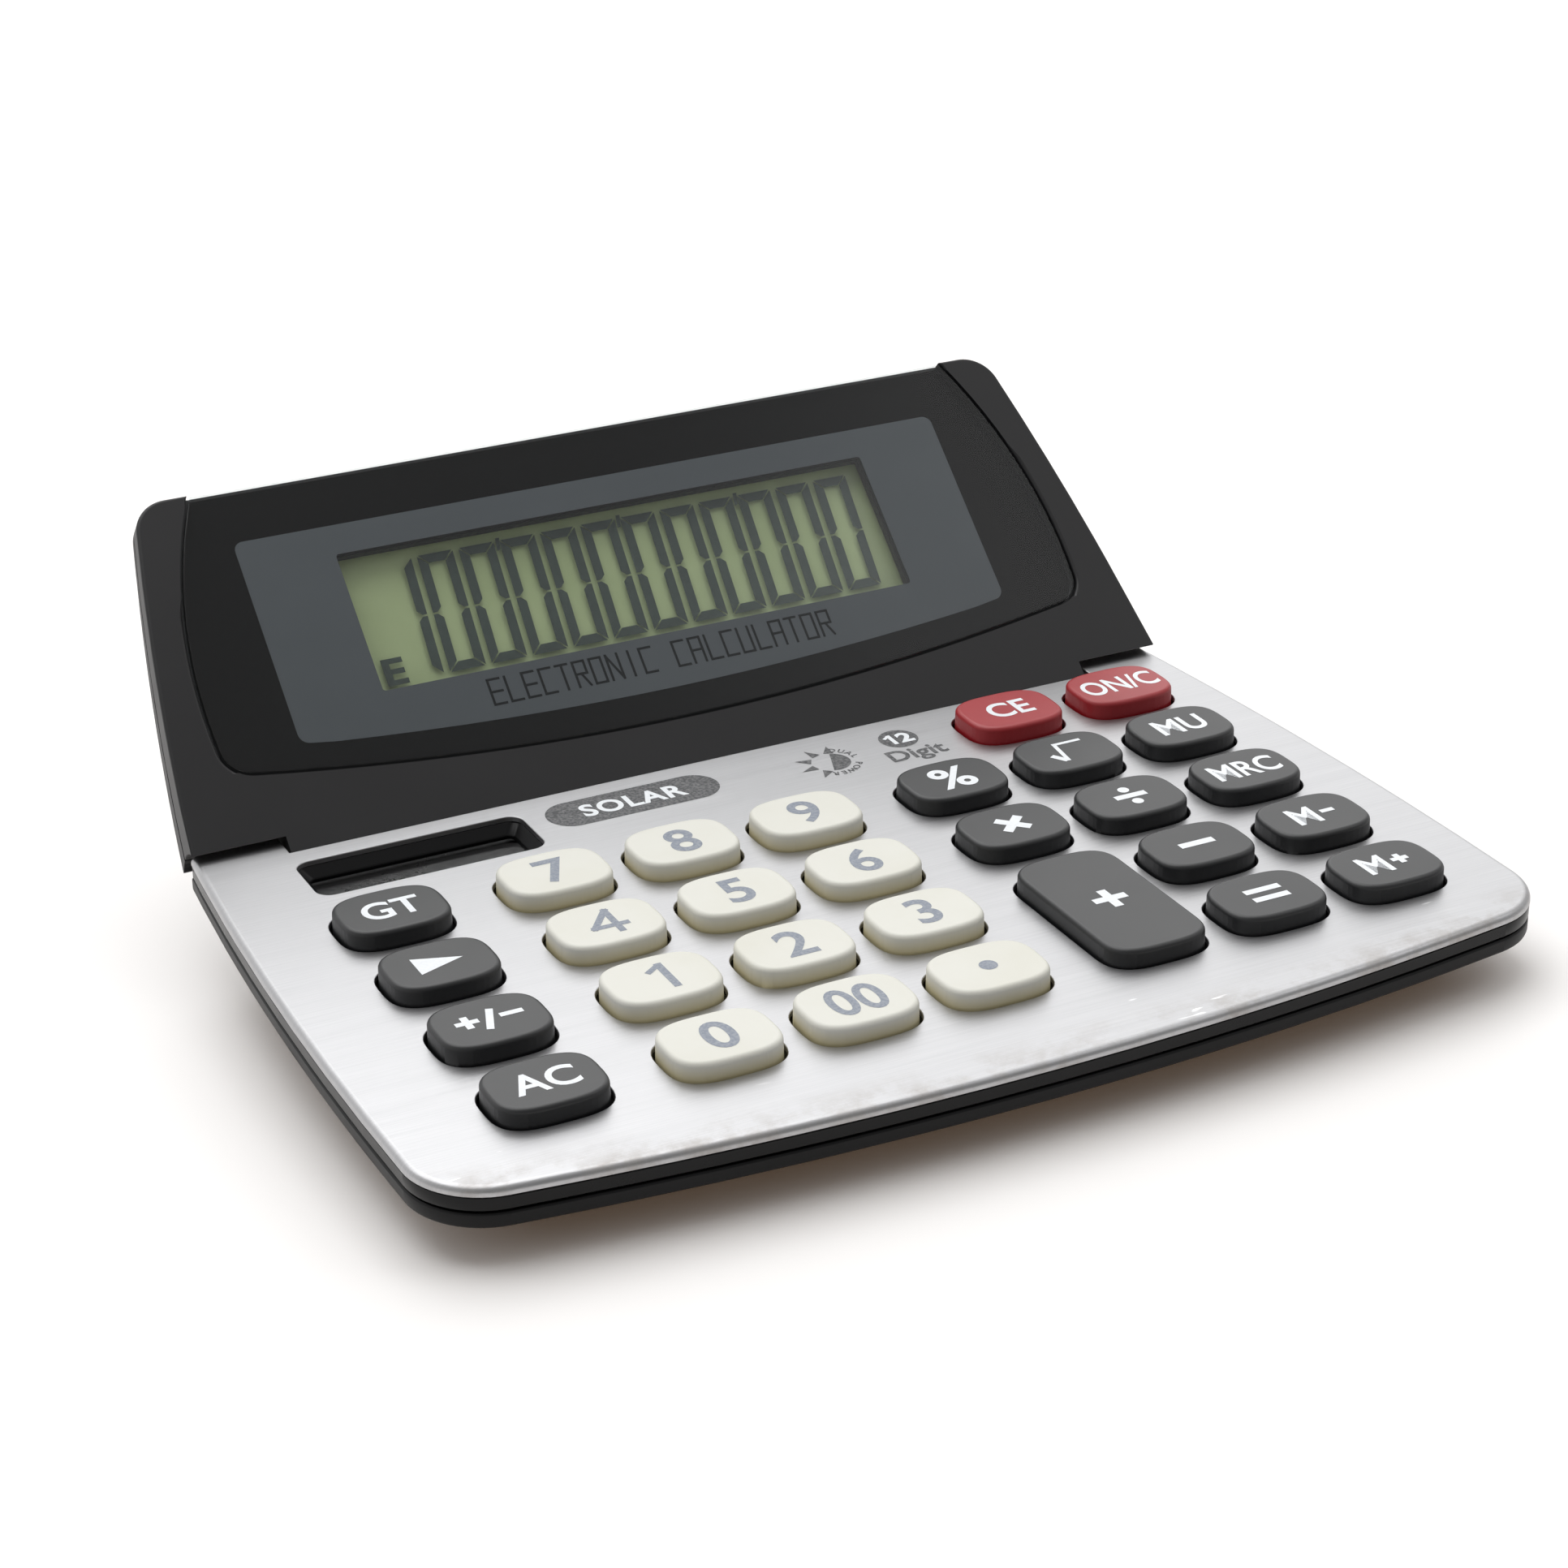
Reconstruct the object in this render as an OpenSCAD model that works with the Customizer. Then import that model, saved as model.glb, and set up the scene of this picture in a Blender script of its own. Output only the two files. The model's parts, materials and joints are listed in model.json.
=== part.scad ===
// Desk calculator with a tilting display head, on a wedge shaped keyboard base.
// Millimetres, +Z up. The origin is on the desk, below the middle of the outline.
// Three frames are used: the desk frame; the deck frame, whose XY plane is the top of
// the face plate and whose X axis lies above the hinge; and the head frame, whose X axis
// is the hinge axis, with +Y up the display and +Z out of its front face.

/* [Base] */
// Width of the base at its widest
base_w = 149.2; // [146:1:190]
// Depth from the hinge axis to the middle of the front edge
base_d = 93.5; // [92:1:130]
// Radius of the bowed front edge
front_bow_r = 480; // [300:10:900]
// Radius of the bowed side edges
side_bow_r = 650; // [500:10:1200]
// Distance from the hinge axis forward to the widest line of the base
widest_y = 64; // [40:1:80]
// Radius of the two front corners
corner_r = 10; // [6:0.5:16]
// Slope of the keyboard towards the user, in degrees
slope = 4; // [2:0.5:6]
// Height of the deck surface above the desk at the front edge
front_h = 9.6; // [9:0.1:14]

/* [Walls] */
// Thickness of the aluminium face plate
plate_t = 0.7; // [0.5:0.1:1]
// Depth of the face plate's turned down rim
rim_h = 1.1; // [0.9:0.1:1.6]
// Height of the upper frame's visible band
frame_band = 1.8; // [1.4:0.1:3]
// Height of the lower case's visible band
case_band = 1.75; // [1.4:0.1:3]
// Gap of the groove between upper frame and lower case
groove_h = 0.3; // [0.2:0.05:0.5]
// Thickness of the upper frame's top wall
frame_t = 1.5; // [1.2:0.1:2]
// Thickness of the lower case's walls
case_t = 1.6; // [1.2:0.1:1.8]
// How far the lower case's underside tapers in
taper_in = 10; // [8:0.5:18]

/* [Keys] */
// From the side of the base to the middle of the outermost key column
side_margin = 17.8; // [16:0.1:26]
// From the front edge of the base to the middle of the front key row
front_margin = 19.7; // [18:0.1:30]
// From the hinge axis to the rear edge of the rearmost key openings
rear_margin = 5.5; // [5.4:0.1:7]
// How far the key block is shifted to the right of the middle
block_shift = 1.65; // [-2:0.05:2]
// Extra space beside the number block
group_gap = 4; // [3.4:0.1:5]
// Width of the bars between key columns
key_bar_x = 2.8; // [2.2:0.1:6]
// Width of the bars between key rows
key_bar_y = 3.8; // [2.2:0.1:6]
// Gap between a key and the edge of its opening
key_gap = 0.5; // [0.35:0.05:0.7]
// Height of the key tops above the face plate
key_h = 2.3; // [1.8:0.1:4]
// Travel of a key
key_travel = 1.2; // [0.8:0.1:1.3]

/* [Display head] */
// Length of the display head, from the hinge axis to its top edge
head_l = 53.5; // [50:0.5:70]
// How much narrower than the base each side of the head is, at the hinge
head_in_low = 2.7; // [2:0.1:5]
// How much narrower than the base each side of the head is, at its top edge
head_in_top = 10.3; // [4:0.1:14]
// Radius of the bowed sides of the head
head_bow_r = 400; // [200:10:900]
// Radius of the head's top corners
head_corner_r = 5; // [3:0.5:9]
// Tilt of the head above the keyboard at rest, in degrees
tilt = 42; // [20:1:55]
// Thickness of the head behind its front face
head_t = 8.4; // [8.2:0.1:11]
// Thickness of the display lens
lens_t = 1.5; // [1.2:0.1:1.6]
// Gap around the lens
lens_gap = 0.35; // [0.2:0.05:0.6]
// Width of the liquid crystal view
lcd_w = 79.4; // [60:0.1:82]
// Height of the liquid crystal view
lcd_h = 20.8; // [16:0.1:22]
// Distance from the hinge axis to the lower edge of the view
lcd_y = 20.8; // [19.5:0.1:24]

/* [Hinge] */
// Radius of the hinge barrel
barrel_r = 3.2; // [3:0.1:3.4]
// From the side of the base to the end of the hinge barrel
barrel_in = 15.5; // [14.5:0.1:18]
// Depth of the hinge axis below the deck surface
axis_drop = 3.4; // [3.3:0.1:3.6]
// Radius of the hinge pins
pin_r = 1.2; // [1:0.1:1.4]
// Running clearance of the pins in the barrel
pin_clearance = 0.05; // [0.02:0.01:0.1]
// Length of a hinge pin
pin_l = 17; // [12:0.5:20]
// Gap between barrel end and knuckle
knuckle_gap = 0.5; // [0.4:0.05:1]
// Radius of the knuckles that hold the pins
knuckle_r = 2.2; // [1.9:0.1:2.4]

/* [Solar window] */
// Width of the solar window opening
solar_w = 30.8; // [24:0.1:33]
// Depth of the solar window opening
solar_d = 10.3; // [8:0.1:10.8]
// From the side of the base to the middle of the solar window
solar_in = 29.6; // [28:0.1:40]
// From the hinge axis to the rear edge of the solar window
solar_rear = 5.7; // [5.5:0.1:7]

/* [Feet and power] */
// Height of the rubber feet below the case
foot_h = 1; // [0.6:0.1:2]
// Radius of the rubber feet
foot_r = 5; // [4:0.5:6]
// Radius of the button cell
cell_r = 5.8; // [4.8:0.1:5.8]
// Thickness of the button cell
cell_t = 3.1; // [2:0.1:3.6]

/* [Hidden] */
dark = [0.27, 0.28, 0.3];
ivory = [0.92, 0.9, 0.8];
red = [0.7, 0.2, 0.22];

$fn = 48;
gap = 0.1;            // between flat faces of neighbouring pieces
bite = 1;             // how far a cut runs past the face it opens
arc_steps = 14;
outline_power = 3.2;  // roundness of a key's outline
outline_steps = 48;

// Height of the deck surface above the desk at the hinge
deck_h = front_h + base_d * sin(slope);

// Heights in the deck frame, from the deck surface down
frame_top = -plate_t - 0.05;
frame_under = frame_top - frame_t;
frame_low = -rim_h - 0.05 - frame_band;
case_high = frame_low - groove_h;
case_lip_low = case_high - case_band;
flange_top = frame_under - gap;
flange_t = 0.8;
plunger_low = flange_top - flange_t - 0.45;
dome_top = plunger_low - gap;
dome_h = 1.9;
mat_top = dome_top - dome_h;
mat_t = 0.7;
board_top = mat_top - mat_t;
board_t = 1.2;
board_low = board_top - board_t;

// Rear edges in the deck frame
plate_rear = -2.4;
frame_rear = -barrel_r - 0.35;
tab_rear = 2.3;
nub_rear = 3.2;
rear_wall_t = 1;
barrel_half = base_w / 2 - barrel_in;
tab_inner = barrel_half + knuckle_gap;
knuckle_l = 8;
ear_r = norm([tab_rear, axis_drop]) + 0.4;

// Key columns and rows, with the number block set apart by group_gap
key_pitch_x = (base_w - 2 * side_margin - 2 * group_gap) / 6;
key_pitch_y = (base_d - front_margin - rear_margin + key_bar_y / 2) / 4.5;
key_w = key_pitch_x - key_bar_x;
key_d = key_pitch_y - key_bar_y;
col_x = [for (c = [0:6]) block_shift + (c - 3) * key_pitch_x + (c > 0 ? group_gap : 0)
    + (c > 3 ? group_gap : 0) - group_gap];
row_y = [for (r = [0:4]) -rear_margin - key_d / 2 - r * key_pitch_y];
flange_out = 0.6;
solar_x = -base_w / 2 + solar_in;
solar_y = solar_rear + solar_d / 2;
solar_step = 1.4;     // how far the bevelled walls of the solar well run in
solar_glass_t = 1;
solar_glass_top = frame_under;

// Each key is [column, row, rows covered]; row 0 is the rearmost one
function key_x(c) = col_x[c];
function key_y(r, span) = row_y[r] - (span - 1) * key_pitch_y / 2;
PLAIN_KEYS = [[0, 1], [0, 2], [0, 3], [0, 4], [1, 1], [1, 2], [1, 3], [1, 4], [2, 1], [2, 2],
    [2, 3], [2, 4], [3, 1], [3, 2], [3, 3], [3, 4], [4, 1], [4, 2], [5, 0], [5, 1], [5, 2],
    [5, 3], [5, 4], [6, 0], [6, 1], [6, 2], [6, 3], [6, 4]];
PLUS = [4, 3];

// Case screws in the deck frame: four between the key blocks, two behind them
left_lane = (col_x[0] + col_x[1]) / 2;
right_lane = (col_x[3] + col_x[4]) / 2;
screw_rows = [row_y[1] - key_pitch_y / 2, row_y[3] - key_pitch_y / 2];
screw_spots = [[left_lane, screw_rows[0]], [left_lane, screw_rows[1]],
    [right_lane, screw_rows[0]], [right_lane, screw_rows[1]],
    [solar_x + solar_w / 2 + 5, -10], [col_x[5] - key_w / 2 - 5, -10]];
screw_r = 0.97;
screw_head_r = 2.2;
screw_head_t = 1;
boss_r = 2.2;
boss_low = board_low - 0.4;
web_low = boss_low - 1.5;

// Inside the base: the board, the carbon pills, and the button cell under its cover
board_left = col_x[0] - 3.9;
board_right = col_x[6] + 3.9;
board_front = row_y[4] - 4.4;
board_rear = frame_rear - rear_wall_t - 0.4;
board_corner = 3;     // how much is cut off its front corners
chip_spot = [-12, -48];
pill_r = 1.5;
pill_t = 0.4;
pill_top = plunger_low - key_travel - 0.15;
cell_spot = [30, -24];      // seen from above, from the hinge
cover_w = 20;
cover_d = 17;
cover_t = 1.2;
cover_screw_x = 7.6;
foot_x = base_w / 2 - taper_in - foot_r - 4.6;
foot_spots = [[-foot_x, -base_d + 23.5], [foot_x, -base_d + 23.5], [-foot_x, -16],
    [foot_x, -16]];

// Head frame: the front face is at barrel_r, the back at barrel_r - head_t
head_back = barrel_r - head_t;
head_half_low = base_w / 2 - head_in_low;
head_half_top = base_w / 2 - head_in_top;
part_low = -1.0;      // joint between the head shells, at the hinge
part_top = 0.7;       // and at the top edge
shell_front_t = 2.5;
shell_side_t = 1.6;
shell_back_t = 1.2;
back_foot = 3.6;      // lower end of the back shell
rim_low = 2.2;        // back shell's edge height at the hinge and at the top
rim_top = 0.9;
back_taper = 9;
lens_floor = barrel_r - lens_t;
lens_half = base_w / 2 - 10.6;
lens_side_r = 73;
lens_wide_y = 21.6;
lens_low_y = 7.8;
lens_bottom_r = 384;
lens_corner_r = 4.2;
lcd_border = 4.3;
lcd_front = part_top - 0.05 - 1.15;
glass_t = 1.1;
board_front_w = lcd_front - 2 * glass_t - 0.3;    // front face of the display board
post_low = head_back + shell_back_t + 1.2;    // lower end of the front shell's posts
head_screw_x = base_w / 2 - 20.6;
head_screw_spots = [[-head_screw_x, 14], [head_screw_x, 14], [-head_screw_x, head_l - 10.5],
    [head_screw_x, head_l - 10.5]];
ribbon_w = 20;
ribbon_t = 0.25;

// Where the hinge lies on the desk frame, so that the outline is centred on the origin
front_y = -base_d * cos(slope);
rear_y = head_l * cos(tilt + slope) + axis_drop * sin(slope)
    - (part_top - rim_top) * sin(tilt + slope);
hinge_y = -(front_y + rear_y) / 2;

// ---- outlines ------------------------------------------------------------------------

// Points on an arc about c, of radius r, from angle a0 to a1
function arc(c, r, a0, a1, n = arc_steps) =
    [for (i = [0:n]) let (a = a0 + (a1 - a0) * i / n) c + r * [cos(a), sin(a)]];

// The point on the right of c0 where circles (c0, r0) and (c1, r1) cross, towards -Y
function crossing(c0, r0, c1, r1) =
    let (d = norm(c1 - c0), e = (c1 - c0) / d, a = (r0 * r0 - r1 * r1 + d * d) / (2 * d),
        h = sqrt(r0 * r0 - a * a), p = c0 + a * e + h * [-e[1], e[0]],
        q = c0 + a * e - h * [-e[1], e[0]])
    p[0] > q[0] ? p : q;

function angle_of(v) = atan2(v[1], v[0]);
function mirrored(points) =
    concat(points, [for (i = [len(points) - 1:-1:0]) [-points[i][0], points[i][1]]]);

// Half of the base's outline, inset all round, ending at rear
function base_half(inset, rear) =
    let (cf = [0, front_bow_r - base_d], rf = front_bow_r - inset,
        cs = [base_w / 2 - side_bow_r, -widest_y], rs = side_bow_r - inset,
        rc = max(corner_r - inset, 2.5), cc = crossing(cf, rf - rc, cs, rs - rc),
        af = angle_of(cc - cf), as = angle_of(cc - cs),
        ar = asin((rear - cs[1]) / rs))
    concat(arc(cf, rf, -90 + 0.01, af), arc(cc, rc, af, as + (as < af ? 360 : 0)),
        arc(cs, rs, as, ar));

module base_outline(inset, rear) {
    polygon(mirrored(base_half(inset, rear)));
}

// Base outline with the two hinge tabs reaching back to tab, and the middle to rear
module tabbed_outline(inset, rear, tab) {
    difference() {
        base_outline(inset, tab);
        translate([-tab_inner, rear])
            square([2 * tab_inner, tab - rear + bite]);
    }
}

// Half of the head's outline in the head frame, inset all round
function head_half(inset, low) =
    let (p = [head_half_low, 0], q = [head_half_top, head_l], m = (p + q) / 2,
        h = norm(q - p) / 2, u = (q - p) / (2 * h),
        c = m + [-u[1], u[0]] * sqrt(head_bow_r * head_bow_r - h * h),
        r = head_bow_r - inset, rc = max(head_corner_r - inset, 1),
        cy = head_l - inset - rc, cc = [c[0] + sqrt(pow(r - rc, 2) - pow(cy - c[1], 2)), cy],
        a0 = asin((low - c[1]) / r))
    concat(arc(c, r, a0, angle_of(cc - c)), arc(cc, rc, angle_of(cc - c), 90));

module head_outline(inset, low) {
    polygon(mirrored(head_half(inset, low)));
}

// Half of the lens outline: bowed bottom, round corner, bowed side, straight top
function lens_half_points(grow, top) =
    let (cb = [0, lens_low_y + lens_bottom_r], rb = lens_bottom_r + grow,
        cs = [lens_half - lens_side_r, lens_wide_y], rs = lens_side_r + grow,
        rc = lens_corner_r + grow, cc = crossing(cb, rb - rc, cs, rs - rc))
    concat(arc(cb, rb, -90 + 0.01, angle_of(cc - cb)),
        arc(cc, rc, angle_of(cc - cb), angle_of(cc - cs)),
        arc(cs, rs, angle_of(cc - cs), asin((top - cs[1]) / rs)));

module lens_outline(grow = 0, top = head_l - 0.4) {
    polygon(mirrored(lens_half_points(grow, top)));
}

// Superellipse, stretched along Y by stretch without changing its round ends
function key_points(w, d, stretch) =
    [for (i = [0:outline_steps - 1]) let (a = (i + 0.5) * 360 / outline_steps, c = cos(a),
        s = sin(a)) [w / 2 * sign(c) * pow(abs(c), 2 / outline_power),
        d / 2 * sign(s) * pow(abs(s), 2 / outline_power) + sign(s) * stretch / 2]];

module key_outline(grow = 0, stretch = 0) {
    polygon(key_points(key_w + 2 * grow, key_d + 2 * grow, stretch));
}

module rounded_rect(w, d, r) {
    translate([-w / 2 + r, -d / 2])
        square([w - 2 * r, d]);
    translate([-w / 2, -d / 2 + r])
        square([w, d - 2 * r]);
    for (x = [-1, 1], y = [-1, 1])
        translate([x * (w / 2 - r), y * (d / 2 - r)])
            circle(r);
}

// ---- frames --------------------------------------------------------------------------

module deck_frame() {
    translate([0, hinge_y, deck_h])
        rotate([slope, 0, 0])
            children();
}

module head_frame() {
    deck_frame()
        translate([0, 0, -axis_drop])
            rotate([tilt, 0, 0])
                children();
}

// A slab between two heights of the deck or head frame
module slab(low, high) {
    translate([0, 0, low])
        linear_extrude(high - low)
            children();
}

module x_cylinder(x0, x1, r) {
    translate([x0, 0, 0])
        rotate([0, 90, 0])
            cylinder(h = x1 - x0, r = r);
}

module at_keys() {
    for (k = PLAIN_KEYS)
        translate([key_x(k[0]), key_y(k[1], 1)])
            children();
}

module all_key_outlines(grow) {
    at_keys()
        key_outline(grow);
    translate([key_x(PLUS[0]), key_y(PLUS[1], 2)])
        key_outline(grow, key_pitch_y);
}

// ---- base ----------------------------------------------------------------------------

module face_plate() {
    color("gainsboro")
        deck_frame()
            difference() {
                slab(-rim_h, 0)
                    tabbed_outline(0, plate_rear, tab_rear);
                slab(-rim_h - bite, -plate_t)
                    tabbed_outline(plate_t, plate_rear + bite, tab_rear + bite);
                slab(-plate_t - bite, bite)
                    all_key_outlines(0);
                slab(-plate_t - bite, bite)
                    translate([solar_x, -solar_y])
                        rounded_rect(solar_w, solar_d, 2);
            }
}

module solar_rim(grow) {
    translate([solar_x, -solar_y])
        rounded_rect(solar_w + 2 * grow, solar_d + 2 * grow, 1);
}

module upper_frame() {
    color([0.12, 0.12, 0.13])
        deck_frame()
            difference() {
                union() {
                    slab(frame_under, frame_top)
                        tabbed_outline(plate_t + 0.05, frame_rear, tab_rear);
                    slab(frame_low, -rim_h - 0.05)
                        difference() {
                            tabbed_outline(0.05, frame_rear, tab_rear);
                            tabbed_outline(2.1, frame_rear - rear_wall_t, tab_rear - 1.6);
                        }
                    slab(case_high + 0.05, frame_low)
                        difference() {
                            tabbed_outline(0.8, frame_rear, tab_rear - 0.7);
                            tabbed_outline(2.1, frame_rear - rear_wall_t, tab_rear - 1.6);
                        }
                    for (s = screw_spots)
                        translate([s[0], s[1], boss_low])
                            cylinder(h = frame_under - boss_low, r = boss_r);
                    slab(solar_glass_top - solar_glass_t - 0.6, frame_under)
                        solar_rim(0.6);
                    for (m = [0, 1])
                        mirror([m, 0, 0])
                            knuckle();
                }
                slab(frame_under - bite, frame_top + bite)
                    all_key_outlines(0.1);
                hull() {
                    slab(frame_top + 0.4, frame_top + 0.5)
                        solar_rim(0.3);
                    slab(frame_under + 0.2, frame_under + 0.3)
                        solar_rim(-solar_step);
                }
                slab(frame_under - bite, frame_under + 0.25)
                    solar_rim(-solar_step);
                slab(solar_glass_top - solar_glass_t - bite, frame_under)
                    solar_rim(-0.6);
                for (s = screw_spots)
                    translate([s[0], s[1], boss_low - bite])
                        cylinder(h = 6, r = screw_r + 0.03);
                for (m = [0, 1])
                    mirror([m, 0, 0])
                        translate([0, 0, -axis_drop])
                            x_cylinder(tab_inner - bite, tab_inner + knuckle_l + bite,
                                pin_r + 0.02);
            }
}

module knuckle() {
    translate([0, 0, -axis_drop])
        x_cylinder(tab_inner, tab_inner + knuckle_l, knuckle_r);
    translate([tab_inner, -knuckle_r + 0.4, -axis_drop])
        cube([knuckle_l, 2 * knuckle_r - 0.8, axis_drop + frame_top - 0.2]);
}

// Outer form of the lower case, or its inside when wall is the wall's thickness
module case_form(wall) {
    hull() {
        deck_frame()
            slab(case_lip_low + wall * 0.7, case_high + wall)
                base_outline(wall == 0 ? 0.05 : wall, nub_rear - wall);
        translate([0, hinge_y, foot_h + wall])
            linear_extrude(0.4)
                base_outline(taper_in + wall, frame_rear - 3 - wall);
    }
}

// Places something over the desk at a point of the deck's plan
module over_desk(spot, z) {
    translate([spot[0], hinge_y + spot[1], z])
        children();
}

module lower_case() {
    color([0.1, 0.1, 0.11])
        difference() {
            union() {
                difference() {
                    case_form(0);
                    intersection() {
                        case_form(case_t);
                        deck_frame()
                            case_inside();
                    }
                }
                intersection() {
                    case_form(0);
                    union() {
                        deck_frame()
                            for (s = screw_spots)
                                translate([s[0], s[1], web_low - 12])
                                    cylinder(h = boss_low - gap - web_low + 12, r = 3.3);
                        over_desk(cell_spot, foot_h)
                            cylinder(h = cover_t + cell_t + 0.4, r = cell_r + 1.6);
                        over_desk(cell_spot + [cover_screw_x, 0], foot_h)
                            cylinder(h = cover_t + 4.2, r = 2.2);
                    }
                }
            }
            deck_frame()
                translate([-tab_inner, frame_rear, -30])
                    cube([2 * tab_inner, 30, 40]);
            deck_frame()
                for (s = screw_spots)
                    translate([s[0], s[1], web_low - 20]) {
                        cylinder(h = 20, r = screw_head_r + 0.4);
                        cylinder(h = 40, r = screw_r + 0.3);
                    }
            deck_frame()
                translate([0, 0, -axis_drop])
                    for (m = [0, 1])
                        mirror([m, 0, 0])
                            x_cylinder(tab_inner - bite, tab_inner + knuckle_l + 0.2,
                                knuckle_r + 0.2);
            deck_frame()
                translate([-ribbon_w / 2 - 1, frame_rear - 3, -axis_drop - 3.5])
                    cube([ribbon_w + 2, 6, 1.8]);
            for (f = foot_spots)
                over_desk(f, foot_h - bite)
                    cylinder(h = bite + 0.6, r = foot_r + 0.15);
            over_desk(cell_spot + [2, 0], foot_h - bite)
                linear_extrude(bite + cover_t + 0.1)
                    rounded_rect(cover_w + 0.4, cover_d + 0.4, 2);
            over_desk(cell_spot, foot_h)
                cylinder(h = cover_t + cell_t + 2, r = cell_r + 0.6);
            over_desk(cell_spot + [cover_screw_x, 0], foot_h)
                cylinder(h = cover_t + 6, r = screw_r + 0.03);
        }
}

// The plan of the lower case's inside: the middle, and a pocket behind each tab
module case_inside() {
    translate([-100, -base_d, -30])
        cube([200, base_d + frame_rear - rear_wall_t, 40]);
    for (m = [0, 1])
        mirror([m, 0, 0])
            translate([tab_inner - bite, -base_d, -30])
                cube([20, base_d + nub_rear, 40]);
}

// ---- inside the base -----------------------------------------------------------------

module board_plan() {
    difference() {
        polygon([[board_left, board_rear], [board_left, board_front + board_corner],
            [board_left + board_corner, board_front],
            [board_right - board_corner, board_front],
            [board_right, board_front + board_corner], [board_right, board_rear]]);
        for (s = screw_spots)
            translate(s)
                circle(boss_r + 0.4);
    }
}

module key_mat() {
    color([0.75, 0.76, 0.74])
        deck_frame()
            difference() {
                union() {
                    slab(board_top, mat_top)
                        intersection() {
                            board_plan();
                            mat_plan();
                        }
                    at_keys()
                        translate([0, 0, mat_top])
                            cylinder(h = dome_h, r1 = 3.6, r2 = 2.4);
                    for (r = [3, 4])
                        translate([key_x(4), row_y[r], mat_top])
                            cylinder(h = dome_h, r1 = 3.6, r2 = 2.4);
                }
                at_keys()
                    dome_hollow();
                for (r = [3, 4])
                    translate([key_x(4), row_y[r], 0])
                        dome_hollow();
            }
}

// The mat lies under the four full rows, with a patch for the two rearmost keys
module mat_plan() {
    translate([board_left, board_front])
        square([board_right - board_left, row_y[1] + 5 - board_front]);
    translate([col_x[5] - 7, row_y[1]])
        square([board_right - col_x[5] + 7, row_y[0] + 5 - row_y[1]]);
}

module dome_hollow() {
    translate([0, 0, board_top - bite])
        cylinder(h = pill_top - board_top + bite, r1 = 3.1, r2 = 1.8);
}

module carbon_pills() {
    color([0.05, 0.05, 0.05])
        deck_frame() {
            at_keys()
                translate([0, 0, pill_top - pill_t])
                    cylinder(h = pill_t, r = pill_r);
            for (r = [3, 4])
                translate([key_x(4), row_y[r], pill_top - pill_t])
                    cylinder(h = pill_t, r = pill_r);
        }
}

module main_board() {
    color([0.55, 0.42, 0.2])
        deck_frame()
            slab(board_low, board_top - 0.02)
                board_plan();
}

module chip_blob() {
    color([0.06, 0.06, 0.06])
        deck_frame()
            translate([chip_spot[0], chip_spot[1], board_low - 1.4])
                cylinder(h = 1.38, r1 = 3.4, r2 = 5);
}

module capacitor() {
    color([0.2, 0.25, 0.45])
        deck_frame()
            translate([-30, -20, board_low - 2.1])
                x_cylinder(-3.5, 3.5, 2);
}

module solar_window() {
    color([0.2, 0.1, 0.1, 0.5])
        deck_frame()
            slab(solar_glass_top - solar_glass_t, solar_glass_top - 0.02)
                solar_rim(-0.65);
}

module solar_cell() {
    color([0.16, 0.08, 0.1])
        deck_frame()
            translate([solar_x - solar_w / 2 + 0.9, -solar_y - solar_d / 2 + 0.9,
                solar_glass_top - solar_glass_t - gap - 1.1])
                cube([solar_w - 1.8, solar_d - 1.8, 1.1]);
}

module button_cell() {
    color("silver")
        over_desk(cell_spot, foot_h + cover_t + 0.2)
            cylinder(h = cell_t, r = cell_r);
}

// One contact lies over the cell and rises to the board, the other stands at its side
module cell_contacts() {
    low = foot_h + cover_t + 0.6;
    top = foot_h + cover_t + cell_t + 0.3;
    board = deck_h + cell_spot[1] * sin(slope) + board_low * cos(slope) - 0.2;
    color("gold") {
        over_desk(cell_spot + [-2.5, -1.5], top)
            cube([5, 3, 0.25]);
        over_desk(cell_spot + [2.2, -1.5], top)
            cube([0.3, 3, board - top]);
        over_desk(cell_spot + [-cell_r - 0.25, -1], low)
            cube([0.2, 2, board - low]);
    }
}

module battery_cover() {
    color([0.1, 0.1, 0.11])
        over_desk(cell_spot + [2, 0], foot_h)
            difference() {
                linear_extrude(cover_t)
                    rounded_rect(cover_w, cover_d, 1.8);
                translate([cover_screw_x - 2, 0, -bite])
                    cylinder(h = 9, r = screw_r + 0.15);
                translate([cover_screw_x - 2, 0, -bite])
                    cylinder(h = bite + 0.7, r = 1.9);
                for (i = [-3:3])
                    translate([-7, i * 1.2 - 0.2, -bite])
                        cube([5, 0.4, bite + 0.25]);
            }
}

// A cross recessed pan head screw, head down, its head's upper face at z = 0
module screw(length, head_r, head_t, r) {
    difference() {
        union() {
            cylinder(h = length, r = r);
            translate([0, 0, -head_t])
                cylinder(h = head_t, r = head_r);
        }
        for (a = [0, 90])
            rotate(a)
                translate([-head_r * 0.6, -0.22, -head_t - bite])
                    cube([head_r * 1.2, 0.44, bite + head_t * 0.6]);
    }
}

module battery_cover_screw() {
    color("silver")
        over_desk(cell_spot + [cover_screw_x, 0], foot_h + 0.65)
            screw(4, 1.7, 0.6, screw_r);
}

module case_screws() {
    color("silver")
        deck_frame()
            for (s = screw_spots)
                translate([s[0], s[1], web_low])
                    screw(boss_low - web_low + 3.5, screw_head_r, screw_head_t, screw_r);
}

module rubber_feet() {
    color([0.15, 0.15, 0.15])
        for (f = foot_spots)
            over_desk(f, 0)
                cylinder(h = foot_h + 0.55, r = foot_r);
}

// ---- hinge ---------------------------------------------------------------------------

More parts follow.
